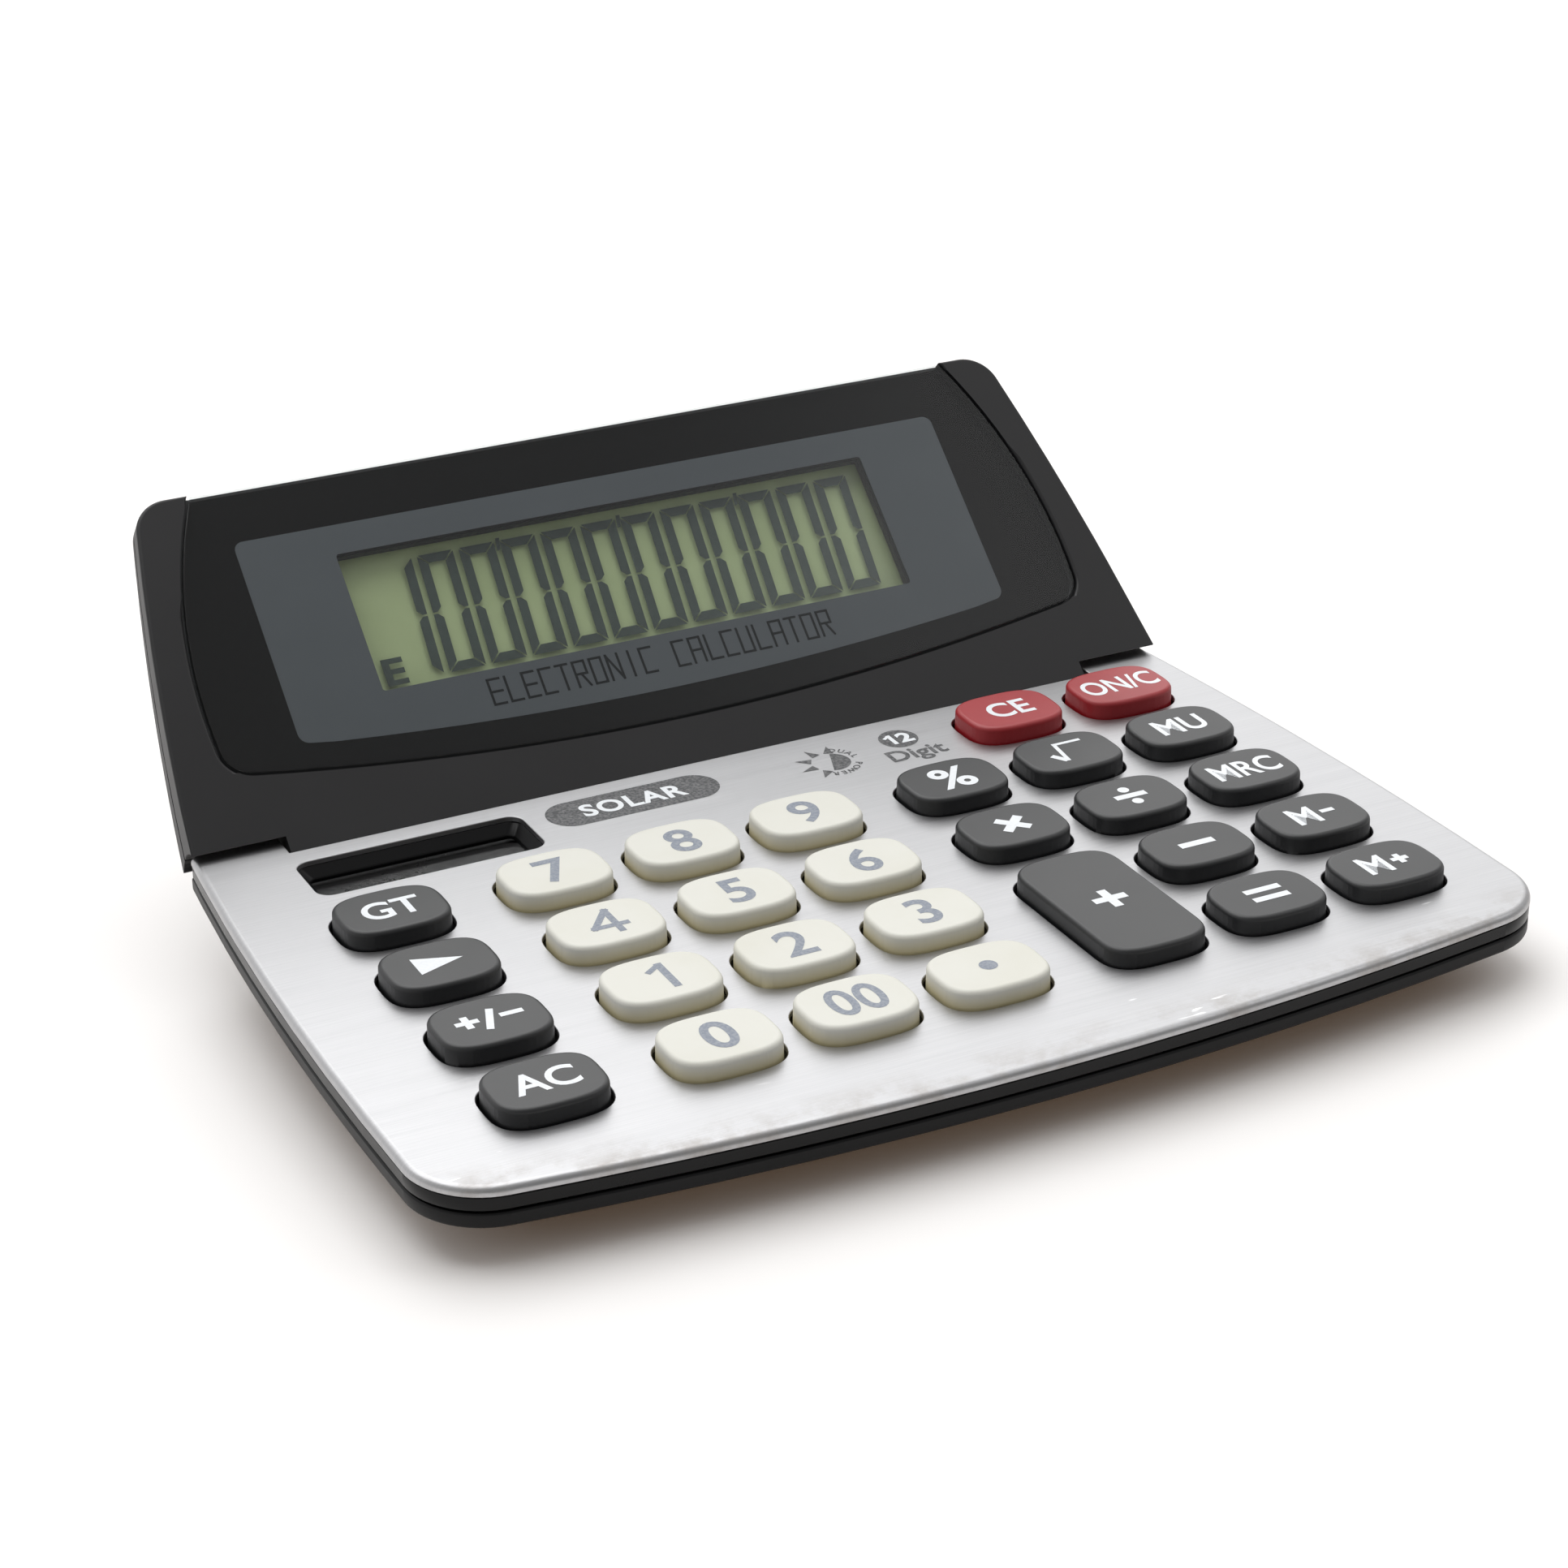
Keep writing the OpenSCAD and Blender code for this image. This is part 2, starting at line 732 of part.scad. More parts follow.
module hinge_pins() {
    color("silver")
        deck_frame()
            translate([0, 0, -axis_drop])
                for (m = [0, 1])
                    mirror([m, 0, 0])
                        x_cylinder(tab_inner + knuckle_l - 0.5 - pin_l,
                            tab_inner + knuckle_l - 0.5, pin_r);
}

module friction_washers() {
    color("goldenrod")
        deck_frame()
            translate([0, 0, -axis_drop])
                for (m = [0, 1])
                    mirror([m, 0, 0])
                        difference() {
                            x_cylinder(barrel_half + gap, tab_inner - gap, knuckle_r);
                            x_cylinder(barrel_half - bite, tab_inner + bite, pin_r + 0.05);
                        }
}

// Flat cable between the boards. It is cut at the hinge axis into two stand-in lengths.
module ribbon_lower() {
    low = board_top + axis_drop + 0.05;
    top = low + ribbon_t;
    color([0.8, 0.55, 0.25])
        deck_frame()
            translate([0, 0, -axis_drop])
                rotate([90, 0, 90])
                    translate([0, 0, -ribbon_w / 2])
                        linear_extrude(ribbon_w)
                            polygon([[-0.7, -0.3], [-3, top], [board_rear - 2.5, top],
                                [board_rear - 2.5, low], [-2.9, low],
                                [-0.5, -0.3 - ribbon_t]]);
}

module ribbon_upper() {
    color([0.8, 0.55, 0.25])
        head_frame()
            rotate([90, 0, 90])
                translate([0, 0, -ribbon_w / 2])
                    linear_extrude(ribbon_w)
                        polygon([[0.7, -0.1], [4, -0.1], [11.8, -2.7], [14.5, -2.7],
                            [14.5, -2.7 - ribbon_t], [11.7, -2.7 - ribbon_t],
                            [4, -0.1 - ribbon_t], [0.7, -0.1 - ribbon_t]]);
}

// ---- display head --------------------------------------------------------------------

// Side view of part of the head, as a polygon of [along, out] points, through all X
module head_profile(points) {
    rotate([90, 0, 90])
        translate([0, 0, -base_w / 2 - 20])
            linear_extrude(base_w + 40)
                polygon(points);
}

function part_w(y) = part_low + (part_top - part_low) * y / head_l;

// Clears the ends of the head around the hinge tabs of the base
module ear_cut() {
    for (m = [0, 1])
        mirror([m, 0, 0])
            x_cylinder(barrel_half, base_w / 2, ear_r);
}

module head_front_shell() {
    color([0.13, 0.13, 0.14])
        head_frame()
            difference() {
                union() {
                    difference() {
                        intersection() {
                            slab(part_low - bite, barrel_r)
                                head_outline(0, 0);
                            head_profile([[-5, part_w(0)], [head_l + 1, part_w(head_l + 1)],
                                [head_l + 1, 9], [-5, 9]]);
                        }
                        slab(-6, barrel_r - shell_front_t)
                            head_outline(shell_side_t, 5.5);
                        ear_cut();
                    }
                    x_cylinder(-barrel_half, barrel_half, barrel_r);
                    for (s = head_screw_spots)
                        translate([s[0], s[1], post_low])
                            cylinder(h = barrel_r - shell_front_t + 0.5 - post_low, r = 2.1);
                }
                slab(lens_floor - 0.05, barrel_r + bite)
                    lens_outline(lens_gap, head_l + bite);
                slab(-6, lens_floor + bite)
                    translate([0, lcd_y + lcd_h / 2])
                        square([lcd_w + 0.6, lcd_h + 0.6], center = true);
                for (m = [0, 1])
                    mirror([m, 0, 0])
                        x_cylinder(barrel_half - 12, barrel_half + bite, pin_r + pin_clearance);
                for (s = head_screw_spots)
                    translate([s[0], s[1], -6])
                        cylinder(h = 6.2, r = 0.9);
                x_cylinder(-ribbon_w / 2 - 2, ribbon_w / 2 + 2, 1.6);
                ribbon_slots();
            }
}

// Openings in the barrel for the flat cable: a sector towards the base, and one into the head
module ribbon_slots() {
    half = ribbon_w / 2 + 2;
    rotate([90, 0, 90])
        translate([0, 0, -half])
            linear_extrude(2 * half) {
                polygon([[0, 0], 5 * [cos(122), sin(122)], 8 * [cos(177), sin(177)],
                    5 * [cos(232), sin(232)]]);
                translate([0, -1.1])
                    square([7, 2]);
            }
}

// Outer form of the back shell, or its inside when wall is the wall's thickness
module back_form(wall) {
    hull() {
        intersection() {
            slab(-6, 3)
                head_outline(wall, back_foot + wall);
            head_profile([[0, part_w(0) + (wall > 0 ? bite : -gap)],
                [head_l, part_w(head_l) + (wall > 0 ? bite : -gap)],
                [head_l, part_w(head_l) - rim_top + wall * 0.2],
                [0, part_w(0) - rim_low + wall * 0.2]]);
        }
        slab(head_back + wall * 0.75, head_back + wall * 0.75 + 0.3)
            intersection() {
                head_outline(back_taper + wall, back_foot + 1 + wall);
                translate([-base_w, 0])
                    square([2 * base_w, head_l - 8 - wall]);
            }
    }
}

module head_back_shell() {
    color([0.11, 0.11, 0.12])
        head_frame()
            difference() {
                union() {
                    difference() {
                        back_form(0);
                        back_form(shell_side_t);
                    }
                    intersection() {
                        back_form(0);
                        for (s = head_screw_spots)
                            translate([s[0], s[1], head_back])
                                cylinder(h = shell_back_t + 1.1, r = 3);
                    }
                }
                ear_cut();
                for (s = head_screw_spots)
                    translate([s[0], s[1], head_back - bite]) {
                        cylinder(h = bite + shell_back_t, r = 2.2);
                        cylinder(h = 9, r = 1.2);
                        translate([0, 0, bite + post_low - 0.05 - head_back])
                            cylinder(h = 9, r = 2.2);
                    }
                translate([-ribbon_w / 2 - 1, 0, -1.5])
                    cube([ribbon_w + 2, 8, 2.5]);
            }
}

module display_lens() {
    color([0.1, 0.11, 0.12, 0.6])
        head_frame()
            slab(lens_floor, barrel_r)
                lens_outline();
}

module lcd_bezel() {
    color([0.08, 0.08, 0.09])
        head_frame()
            slab(lcd_front + 0.05, part_top - 0.05)
                translate([0, lcd_y + lcd_h / 2])
                    difference() {
                        square([lcd_w + 2 * lcd_border, lcd_h + 4], center = true);
                        square([lcd_w, lcd_h], center = true);
                    }
}

module lcd_front_glass() {
    color([0.6, 0.66, 0.48, 0.7])
        head_frame()
            translate([-lcd_w / 2 - lcd_border, lcd_y - 5.8, lcd_front - glass_t])
                cube([lcd_w + 2 * lcd_border, lcd_h + 8.3, glass_t]);
}

module lcd_rear_glass() {
    color([0.58, 0.64, 0.45])
        head_frame()
            translate([-lcd_w / 2 - lcd_border, lcd_y - 2.5, lcd_front - 2 * glass_t])
                cube([lcd_w + 2 * lcd_border, lcd_h + 5, glass_t - 0.02]);
}

module lcd_reflector() {
    color([0.75, 0.76, 0.7])
        head_frame()
            translate([-lcd_w / 2 - 2, lcd_y - 1.5, lcd_front - 2 * glass_t - 0.2])
                cube([lcd_w + 4, lcd_h + 3, 0.18]);
}

module zebra_strip() {
    color([0.35, 0.35, 0.37])
        head_frame()
            translate([-lcd_w / 2, lcd_y - 5.4, board_front_w + 0.02])
                cube([lcd_w, 2.2, lcd_front - glass_t - board_front_w - 0.04]);
}

module display_board() {
    color([0.1, 0.4, 0.2])
        head_frame()
            translate([-lcd_w / 2 - lcd_border, 12, board_front_w - 0.7])
                cube([lcd_w + 2 * lcd_border, 27, 0.7]);
}

module head_screws() {
    color("silver")
        head_frame()
            for (s = head_screw_spots)
                translate([s[0], s[1], head_back + shell_back_t])
                    screw(4, 1.9, 0.9, 0.87);
}

// ---- keys ----------------------------------------------------------------------------

// A key in column c and row r, covering span rows
module key(c, r, tint, span = 1) {
    stretch = (span - 1) * key_pitch_y;
    color(tint)
        deck_frame()
            translate([key_x(c), key_y(r, span), 0]) {
                slab(flange_top - 0.01, key_h)
                    key_outline(-key_gap, stretch);
                slab(flange_top - flange_t, flange_top)
                    key_outline(flange_out, stretch);
                for (i = [0:span - 1])
                    translate([0, row_y[r + i] - key_y(r, span), plunger_low])
                        cylinder(h = flange_top - plunger_low, r = 2);
            }
}

module key_gt() { key(0, 1, dark); }
module key_backspace() { key(0, 2, dark); }
module key_sign() { key(0, 3, dark); }
module key_ac() { key(0, 4, dark); }
module key_7() { key(1, 1, ivory); }
module key_4() { key(1, 2, ivory); }
module key_1() { key(1, 3, ivory); }
module key_0() { key(1, 4, ivory); }
module key_8() { key(2, 1, ivory); }
module key_5() { key(2, 2, ivory); }
module key_2() { key(2, 3, ivory); }
module key_00() { key(2, 4, ivory); }
module key_9() { key(3, 1, ivory); }
module key_6() { key(3, 2, ivory); }
module key_3() { key(3, 3, ivory); }
module key_point() { key(3, 4, ivory); }
module key_percent() { key(4, 1, dark); }
module key_times() { key(4, 2, dark); }
module key_plus() { key(4, 3, dark, 2); }
module key_ce() { key(5, 0, red); }
module key_root() { key(5, 1, dark); }
module key_divide() { key(5, 2, dark); }
module key_minus() { key(5, 3, dark); }
module key_equals() { key(5, 4, dark); }
module key_on() { key(6, 0, red); }
module key_mu() { key(6, 1, dark); }
module key_mrc() { key(6, 2, dark); }
module key_m_minus() { key(6, 3, dark); }
module key_m_plus() { key(6, 4, dark); }

// ---- drawing -------------------------------------------------------------------------

face_plate();
upper_frame();
lower_case();
key_mat();
carbon_pills();
main_board();
chip_blob();
capacitor();
solar_window();
solar_cell();
button_cell();
cell_contacts();
battery_cover();
battery_cover_screw();
case_screws();
rubber_feet();
hinge_pins();
friction_washers();
ribbon_lower();
ribbon_upper();
head_front_shell();
head_back_shell();
display_lens();
lcd_bezel();
lcd_front_glass();
lcd_rear_glass();
lcd_reflector();
zebra_strip();
display_board();
head_screws();
key_gt();
key_backspace();
key_sign();
key_ac();
key_7();
key_4();
key_1();
key_0();
key_8();
key_5();
key_2();
key_00();
key_9();
key_6();
key_3();
key_point();
key_percent();
key_times();
key_plus();
key_ce();
key_root();
key_divide();
key_minus();
key_equals();
key_on();
key_mu();
key_mrc();
key_m_minus();
key_m_plus();
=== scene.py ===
import json
import math

import bmesh
import bpy
from mathutils import Matrix, Vector


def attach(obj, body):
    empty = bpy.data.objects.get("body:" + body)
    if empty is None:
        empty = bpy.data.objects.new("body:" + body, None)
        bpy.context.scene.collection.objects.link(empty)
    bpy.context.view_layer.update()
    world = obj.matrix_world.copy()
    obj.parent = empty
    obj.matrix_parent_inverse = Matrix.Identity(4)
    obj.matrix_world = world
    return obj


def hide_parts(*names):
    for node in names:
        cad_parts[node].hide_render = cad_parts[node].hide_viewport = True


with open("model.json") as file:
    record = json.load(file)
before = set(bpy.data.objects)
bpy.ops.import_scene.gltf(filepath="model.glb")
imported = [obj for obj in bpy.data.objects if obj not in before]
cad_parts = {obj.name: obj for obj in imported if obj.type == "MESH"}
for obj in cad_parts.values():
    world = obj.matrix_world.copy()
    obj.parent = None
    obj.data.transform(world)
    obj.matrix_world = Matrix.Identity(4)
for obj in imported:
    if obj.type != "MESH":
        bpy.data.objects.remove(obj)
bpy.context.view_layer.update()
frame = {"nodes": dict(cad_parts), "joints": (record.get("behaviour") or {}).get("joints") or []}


# ---- Camera -----------------------------------------------------------------------------
# The keyboard deck is the calculator's own level: its X axis lies over the tilt hinge, its
# XY plane is the top of the face plate. The camera is placed in that frame, in millimetres:
# in front of the calculator and to its left, looking down at it.

hinge = next(j for j in frame["joints"] if j["type"] == "hinge")
AXIS_DROP = 3.4          # hinge axis below the deck surface
SLOPE = math.radians(4)  # the deck rises towards the hinge
DECK = (Matrix.Translation(hinge["pos_m"]) @ Matrix.Rotation(SLOPE, 4, "X")
        @ Matrix.Scale(0.001, 4) @ Matrix.Translation((0, 0, AXIS_DROP)))

lens = bpy.data.cameras.new("camera")
lens.lens, lens.sensor_width = 80.18, 36
lens.clip_start, lens.clip_end = 0.05, 20
camera = bpy.data.objects.new("camera", lens)
bpy.context.scene.collection.objects.link(camera)
aim = (Matrix.Rotation(math.radians(-26.652), 4, "Z")
       @ Matrix.Rotation(math.radians(64.537), 4, "X")
       @ Matrix.Rotation(math.radians(-0.682), 4, "Z"))
camera.matrix_world = (Matrix.Translation(DECK @ Vector((-181.75, -386.23, 198.32)))
                       @ Matrix.Rotation(SLOPE, 4, "X") @ aim)
bpy.context.scene.camera = camera


# ---- Studio -----------------------------------------------------------------------------
# A white table top under soft light: a large soft box high behind the calculator, which the
# metal face mirrors, a smaller one overhead, one at the right for the display head, and a
# white room that is brighter behind the calculator than in front of it.

def linear(code):
    """An sRGB hex colour as linear red, green, blue and alpha."""
    parts = [int(code[i:i + 2], 16) / 255 for i in (1, 3, 5)]
    return [c / 12.92 if c <= 0.04045 else ((c + 0.055) / 1.055) ** 2.4 for c in parts] + [1]


def add(tree, kind, values=None, links=None, **settings):
    """Adds a node with its settings, its sockets' values and the sockets linked to it."""
    made = tree.nodes.new(kind)
    for name, value in settings.items():
        setattr(made, name, value)
    for name, value in (values or {}).items():
        made.inputs[name].default_value = value
    for name, source in (links or {}).items():
        tree.links.new(source, made.inputs[name])
    return made


def material(name):
    """A new material with an empty node tree."""
    made = bpy.data.materials.new(name)
    made.use_nodes = True
    made.node_tree.nodes.clear()
    return made


def surface(tree, shader):
    """Makes a shader what the material shows."""
    add(tree, "ShaderNodeOutputMaterial", links={"Surface": shader.outputs[0]})


ROOM_FRONT, ROOM_REAR = 0.22, 0.98     # the room's brightness before and behind the calculator

room = bpy.data.worlds.new("white_room")
room.use_nodes = True
bpy.context.scene.world = room
tree = room.node_tree
walls = tree.nodes["Background"]
walls.inputs["Color"].default_value = linear("#ffffff")
toward = add(tree, "ShaderNodeSeparateXYZ",
             links={"Vector": add(tree, "ShaderNodeTexCoord").outputs["Generated"]})
glow = add(tree, "ShaderNodeMapRange", {"From Min": -1.0, "From Max": 1.0, "To Min": ROOM_FRONT,
                                        "To Max": ROOM_REAR}, {"Value": toward.outputs["Y"]})
tree.links.new(glow.outputs["Result"], walls.inputs["Strength"])
bpy.context.scene.view_settings.view_transform = "Standard"

for name, place, target, size, power in (
        ("soft_box_rear", (0.65, 1.2, 0.87), (0, 0, 0.02), (1.7, 1.0), 4.6),
        ("soft_box_right", (0.75, -0.35, 0.9), (0, 0, 0.03), (0.5, 0.5), 0.8),
        ("soft_box_top", (-0.1, 0.4, 1.15), (0, 0, 0), (1.3, 1.2), 9.0)):
    lamp = bpy.data.lights.new(name, "AREA")
    lamp.shape, lamp.energy = "RECTANGLE", power
    lamp.size, lamp.size_y = size
    box = bpy.data.objects.new(name, lamp)
    box.location = place
    box.rotation_mode = "QUATERNION"
    box.rotation_quaternion = (Vector(target) - Vector(place)).to_track_quat("-Z", "Y")
    bpy.context.scene.collection.objects.link(box)

table = material("white_laminate_painted_glow")
tree = table.node_tree
place = add(tree, "ShaderNodeTexCoord")
# Laminate is all but even: a faint cloud a third of a metre across.
cloud = add(tree, "ShaderNodeTexNoise", {"Scale": 3.0, "Detail": 2.0},
            {"Vector": place.outputs["Object"]})
tone = add(tree, "ShaderNodeMix", {"A": linear("#f6f6f6"), "B": linear("#fbfbfb")},
           {"Factor": cloud.outputs["Fac"]}, data_type="RGBA")
# Painted light: a faint warm emission makes the table glow and lifts its shadows to a warm tone, in
# place of bounced light.
surface(tree, add(tree, "ShaderNodeBsdfPrincipled",
                  {"Roughness": 0.55, "Emission Color": linear("#ffc890"),
                   "Emission Strength": 0.05},
                  {"Base Color": tone.outputs["Result"]}))

floor_mesh = bpy.data.meshes.new("floor")
bm = bmesh.new()
bmesh.ops.create_grid(bm, x_segments=1, y_segments=1, size=3)
bm.to_mesh(floor_mesh)
bm.free()
floor = bpy.data.objects.new("floor", floor_mesh)
floor_mesh.materials.append(table)
bpy.context.scene.collection.objects.link(floor)


# ---- Lower case -------------------------------------------------------------------------
# The bottom tray of the base, injection moulded in black ABS. Its rim is left with a small
# radius by the mould, and its skin has the fine grain of a spark eroded tool.

def moulded(name, colour, roughness, grain, depth, wear="#000000", wear_amount=0.0, shine=0.5):
    """Injection moulded plastic: grain is the spark texture's size and depth its height, in
    millimetres. The wear colour shows as faint handling haze, in patches some 15 mm across,
    and shine is how strongly the skin mirrors. It reads as even, dull satin."""
    made = material(name)
    tree = made.node_tree
    place = add(tree, "ShaderNodeTexCoord").outputs["Object"]
    haze = add(tree, "ShaderNodeTexNoise", {"Scale": 60.0, "Detail": 6.0, "Roughness": 0.6},
               {"Vector": place})
    spark = add(tree, "ShaderNodeTexNoise", {"Scale": 1000 / grain, "Detail": 3.0},
                {"Vector": place})
    patch = add(tree, "ShaderNodeMapRange",
                {"From Min": 0.45, "From Max": 0.75, "To Max": wear_amount},
                {"Value": haze.outputs["Fac"]})
    tone = add(tree, "ShaderNodeMix", {"A": linear(colour), "B": linear(wear)},
               {"Factor": patch.outputs["Result"]}, data_type="RGBA")
    gloss = add(tree, "ShaderNodeMapRange",
                {"To Min": roughness - 0.05, "To Max": roughness + 0.07},
                {"Value": haze.outputs["Fac"]})
    relief = add(tree, "ShaderNodeBump", {"Strength": 0.35, "Distance": depth / 1000},
                 {"Height": spark.outputs["Fac"]})
    surface(tree, add(tree, "ShaderNodeBsdfPrincipled",
                      {"IOR": 1.46, "Specular IOR Level": shine},
                      {"Base Color": tone.outputs["Result"], "Roughness": gloss.outputs["Result"],
                       "Normal": relief.outputs["Normal"]}))
    return made


WELD = 0.004             # points of a solid closer than this are one, in millimetres
FLAT = math.radians(0.6) # faces that turn less than this are one


def solid_of(node, local=DECK):
    """A CAD node's solid as a bmesh in a local frame, its triangles merged into clean faces."""
    bm = bmesh.new()
    bm.from_mesh(frame["nodes"][node].data)
    bmesh.ops.transform(bm, matrix=local.inverted(), verts=bm.verts)
    bmesh.ops.remove_doubles(bm, verts=bm.verts, dist=WELD)
    bmesh.ops.dissolve_degenerate(bm, edges=bm.edges, dist=WELD)
    bmesh.ops.dissolve_limit(bm, angle_limit=FLAT, verts=bm.verts, edges=bm.edges)
    return bm


def soften(bm, width, segments, picked=None, least=35):
    """Rounds the outward edges that turn by more than least degrees, as a mould or a press
    leaves them. Picked says which points an edge may have."""
    edges = [e for e in bm.edges if len(e.link_faces) == 2 and e.is_convex
             and e.calc_face_angle() > math.radians(least)
             and (picked is None or all(picked(v.co) for v in e.verts))]
    bmesh.ops.bevel(bm, geom=edges, offset=width, affect="EDGES", segments=segments,
                    profile=0.5, material=-1, clamp_overlap=False)


SMALL_FACE = 3e-6        # broader faces are flat walls and aren't smoothed, in square metres


def piece(name, bm, body, look, local=DECK, stands_for=(), smooth=35):
    """Turns a bmesh in a local frame into a piece of the calculator that rides on a body."""
    bmesh.ops.transform(bm, matrix=local, verts=bm.verts)
    mesh = bpy.data.meshes.new(name)
    bm.to_mesh(mesh)
    bm.free()
    mesh.materials.append(look)
    mesh.set_sharp_from_angle(angle=math.radians(smooth))
    mesh.polygons.foreach_set("use_smooth", [f.area < SMALL_FACE for f in mesh.polygons])
    made = bpy.data.objects.new(name, mesh)
    bpy.context.scene.collection.objects.link(made)
    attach(made, body)
    if stands_for:
        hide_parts(*stands_for)
    return made


# Matt black, with a grain of about a third of a millimetre that only shows close up.
case_abs = moulded("black_abs_spark_textured", "#0d0d0e", 0.42, 0.35, 0.02, "#1b1b1d", 0.5, 0.25)
bm = solid_of("lower_case")
soften(bm, 0.25, 2)
piece("case_tray", bm, "base", case_abs, stands_for=["lower_case"])


# ---- Upper frame ------------------------------------------------------------------------
# The black ABS frame that carries the face plate, the keys and the hinge knuckles. Its band
# shows round the base under the plate, polished in the mould and so glossier than the tray.

# Polished black, with a thin soft line of light along its edges.
frame_abs = moulded("black_abs_polished", "#0b0b0c", 0.26, 0.8, 0.006, "#171719", 0.4, 0.25)
BAND_TOP = -0.9          # the part of the frame that shows lies below this height
bm = solid_of("upper_frame")
soften(bm, 0.2, 2, lambda p: p.z < BAND_TOP)
piece("deck_frame", bm, "base", frame_abs, stands_for=["upper_frame"])


# ---- Face plate -------------------------------------------------------------------------
# Aluminium sheet, brushed across the deck and lacquered, with a rolled edge. Long use has
# dulled the front edge with a grey brown film and left scuffs and small bright dents there.

BOW_R, BASE_D = 480.0, 93.5       # the bowed front edge's radius, and its distance in front
brushed = material("brushed_aluminium_lacquered")
tree = brushed.node_tree
place = add(tree, "ShaderNodeTexCoord").outputs["Object"]
# The brush leaves lines some 20 mm long and a quarter of a millimetre apart, and broader
# bands 2 mm apart that differ in gloss.
level = add(tree, "ShaderNodeMapping", {"Rotation": (-SLOPE, 0, 0)}, {"Vector": place})
strokes = add(tree, "ShaderNodeMapping", {"Scale": (45, 4200, 1)}, {"Vector": level.outputs[0]})
lines = add(tree, "ShaderNodeTexNoise", {"Scale": 1.0, "Detail": 4.0, "Roughness": 0.7},
            {"Vector": strokes.outputs[0]})
broad = add(tree, "ShaderNodeMapping", {"Scale": (14, 420, 1)}, {"Vector": level.outputs[0]})
bands = add(tree, "ShaderNodeTexNoise", {"Scale": 1.0, "Detail": 3.0},
            {"Vector": broad.outputs[0]})
# The film of dirt lies in stains, thickest at the front edge and gone 6.5 mm behind it.
centre = DECK @ Vector((0, BOW_R - BASE_D, 0))
reach = add(tree, "ShaderNodeVectorMath", {1: centre}, {0: place}, operation="DISTANCE")
margin = add(tree, "ShaderNodeMath", {0: BOW_R / 1000}, {1: reach.outputs["Value"]},
             operation="SUBTRACT")
ragged = add(tree, "ShaderNodeTexNoise", {"Scale": 160.0, "Detail": 8.0, "Roughness": 0.75},
             {"Vector": place})
stain = add(tree, "ShaderNodeMapRange", {"From Min": 0.46, "From Max": 0.72},
            {"Value": ragged.outputs["Fac"]})
near = add(tree, "ShaderNodeMapRange", {"From Min": 0.0005, "From Max": 0.0065, "To Min": 0.5,
                                        "To Max": 0.0}, {"Value": margin.outputs[0]})
film = add(tree, "ShaderNodeMath", {}, {0: near.outputs["Result"], 1: stain.outputs["Result"]},
           operation="MULTIPLY")
# Knocks have left short bright marks across the grain, within about a centimetre of that edge.
knock_at = add(tree, "ShaderNodeMapping", {"Rotation": (0, 0, 0.7), "Scale": (110, 520, 1)},
               {"Vector": level.outputs[0]})
knock = add(tree, "ShaderNodeTexNoise", {"Scale": 1.0, "Detail": 2.0},
            {"Vector": knock_at.outputs[0]})
struck = add(tree, "ShaderNodeMapRange", {"From Min": 0.70, "From Max": 0.74},
             {"Value": knock.outputs["Fac"]})
zone = add(tree, "ShaderNodeMapRange", {"From Min": 0.006, "From Max": 0.011, "To Min": 1.0,
                                        "To Max": 0.0}, {"Value": margin.outputs[0]})
nick = add(tree, "ShaderNodeMath", {}, {0: struck.outputs["Result"], 1: zone.outputs["Result"]},
           operation="MULTIPLY")
tint = add(tree, "ShaderNodeMix", {"A": linear("#c2c2c3"), "B": linear("#a9a9ab")},
           {"Factor": lines.outputs["Fac"]}, data_type="RGBA")
tone = add(tree, "ShaderNodeMix", {"B": linear("#8f8478")},
           {"Factor": film.outputs[0], "A": tint.outputs["Result"]}, data_type="RGBA")
tone = add(tree, "ShaderNodeMix", {"B": linear("#f4f4f4")},
           {"Factor": nick.outputs[0], "A": tone.outputs["Result"]}, data_type="RGBA")
dull = add(tree, "ShaderNodeMapRange", {"To Min": 0.30, "To Max": 0.46},
           {"Value": bands.outputs["Fac"]})
rough = add(tree, "ShaderNodeMath", {1: 0.35}, {0: film.outputs[0], 2: dull.outputs["Result"]},
            operation="MULTIPLY_ADD")
relief = add(tree, "ShaderNodeBump", {"Strength": 0.25, "Distance": 0.00004},
             {"Height": lines.outputs["Fac"]})
surface(tree, add(tree, "ShaderNodeBsdfPrincipled", {"Metallic": 1.0},
                  {"Base Color": tone.outputs["Result"], "Roughness": rough.outputs[0],
                   "Normal": relief.outputs["Normal"]}))

# The outer edge is rolled over, and the edges of the openings are only broken by the press.
bm = solid_of("face_plate")
soften(bm, 0.9, 7, lambda p: p.z > -0.01 and (p.y < -80 or abs(p.x) > 68))
soften(bm, 0.12, 2, lambda p: p.z > -0.01 and p.y >= -81 and abs(p.x) <= 67)
piece("metal_face", bm, "base", brushed, stands_for=["face_plate"])


# ---- Face plate printing ----------------------------------------------------------------
# Screen printed ink on the plate: a plain dark badge bar, the half sun that marks the solar
# supply, and the figure 12 over the word Digit. The ink is thin, flat and slightly glossy.

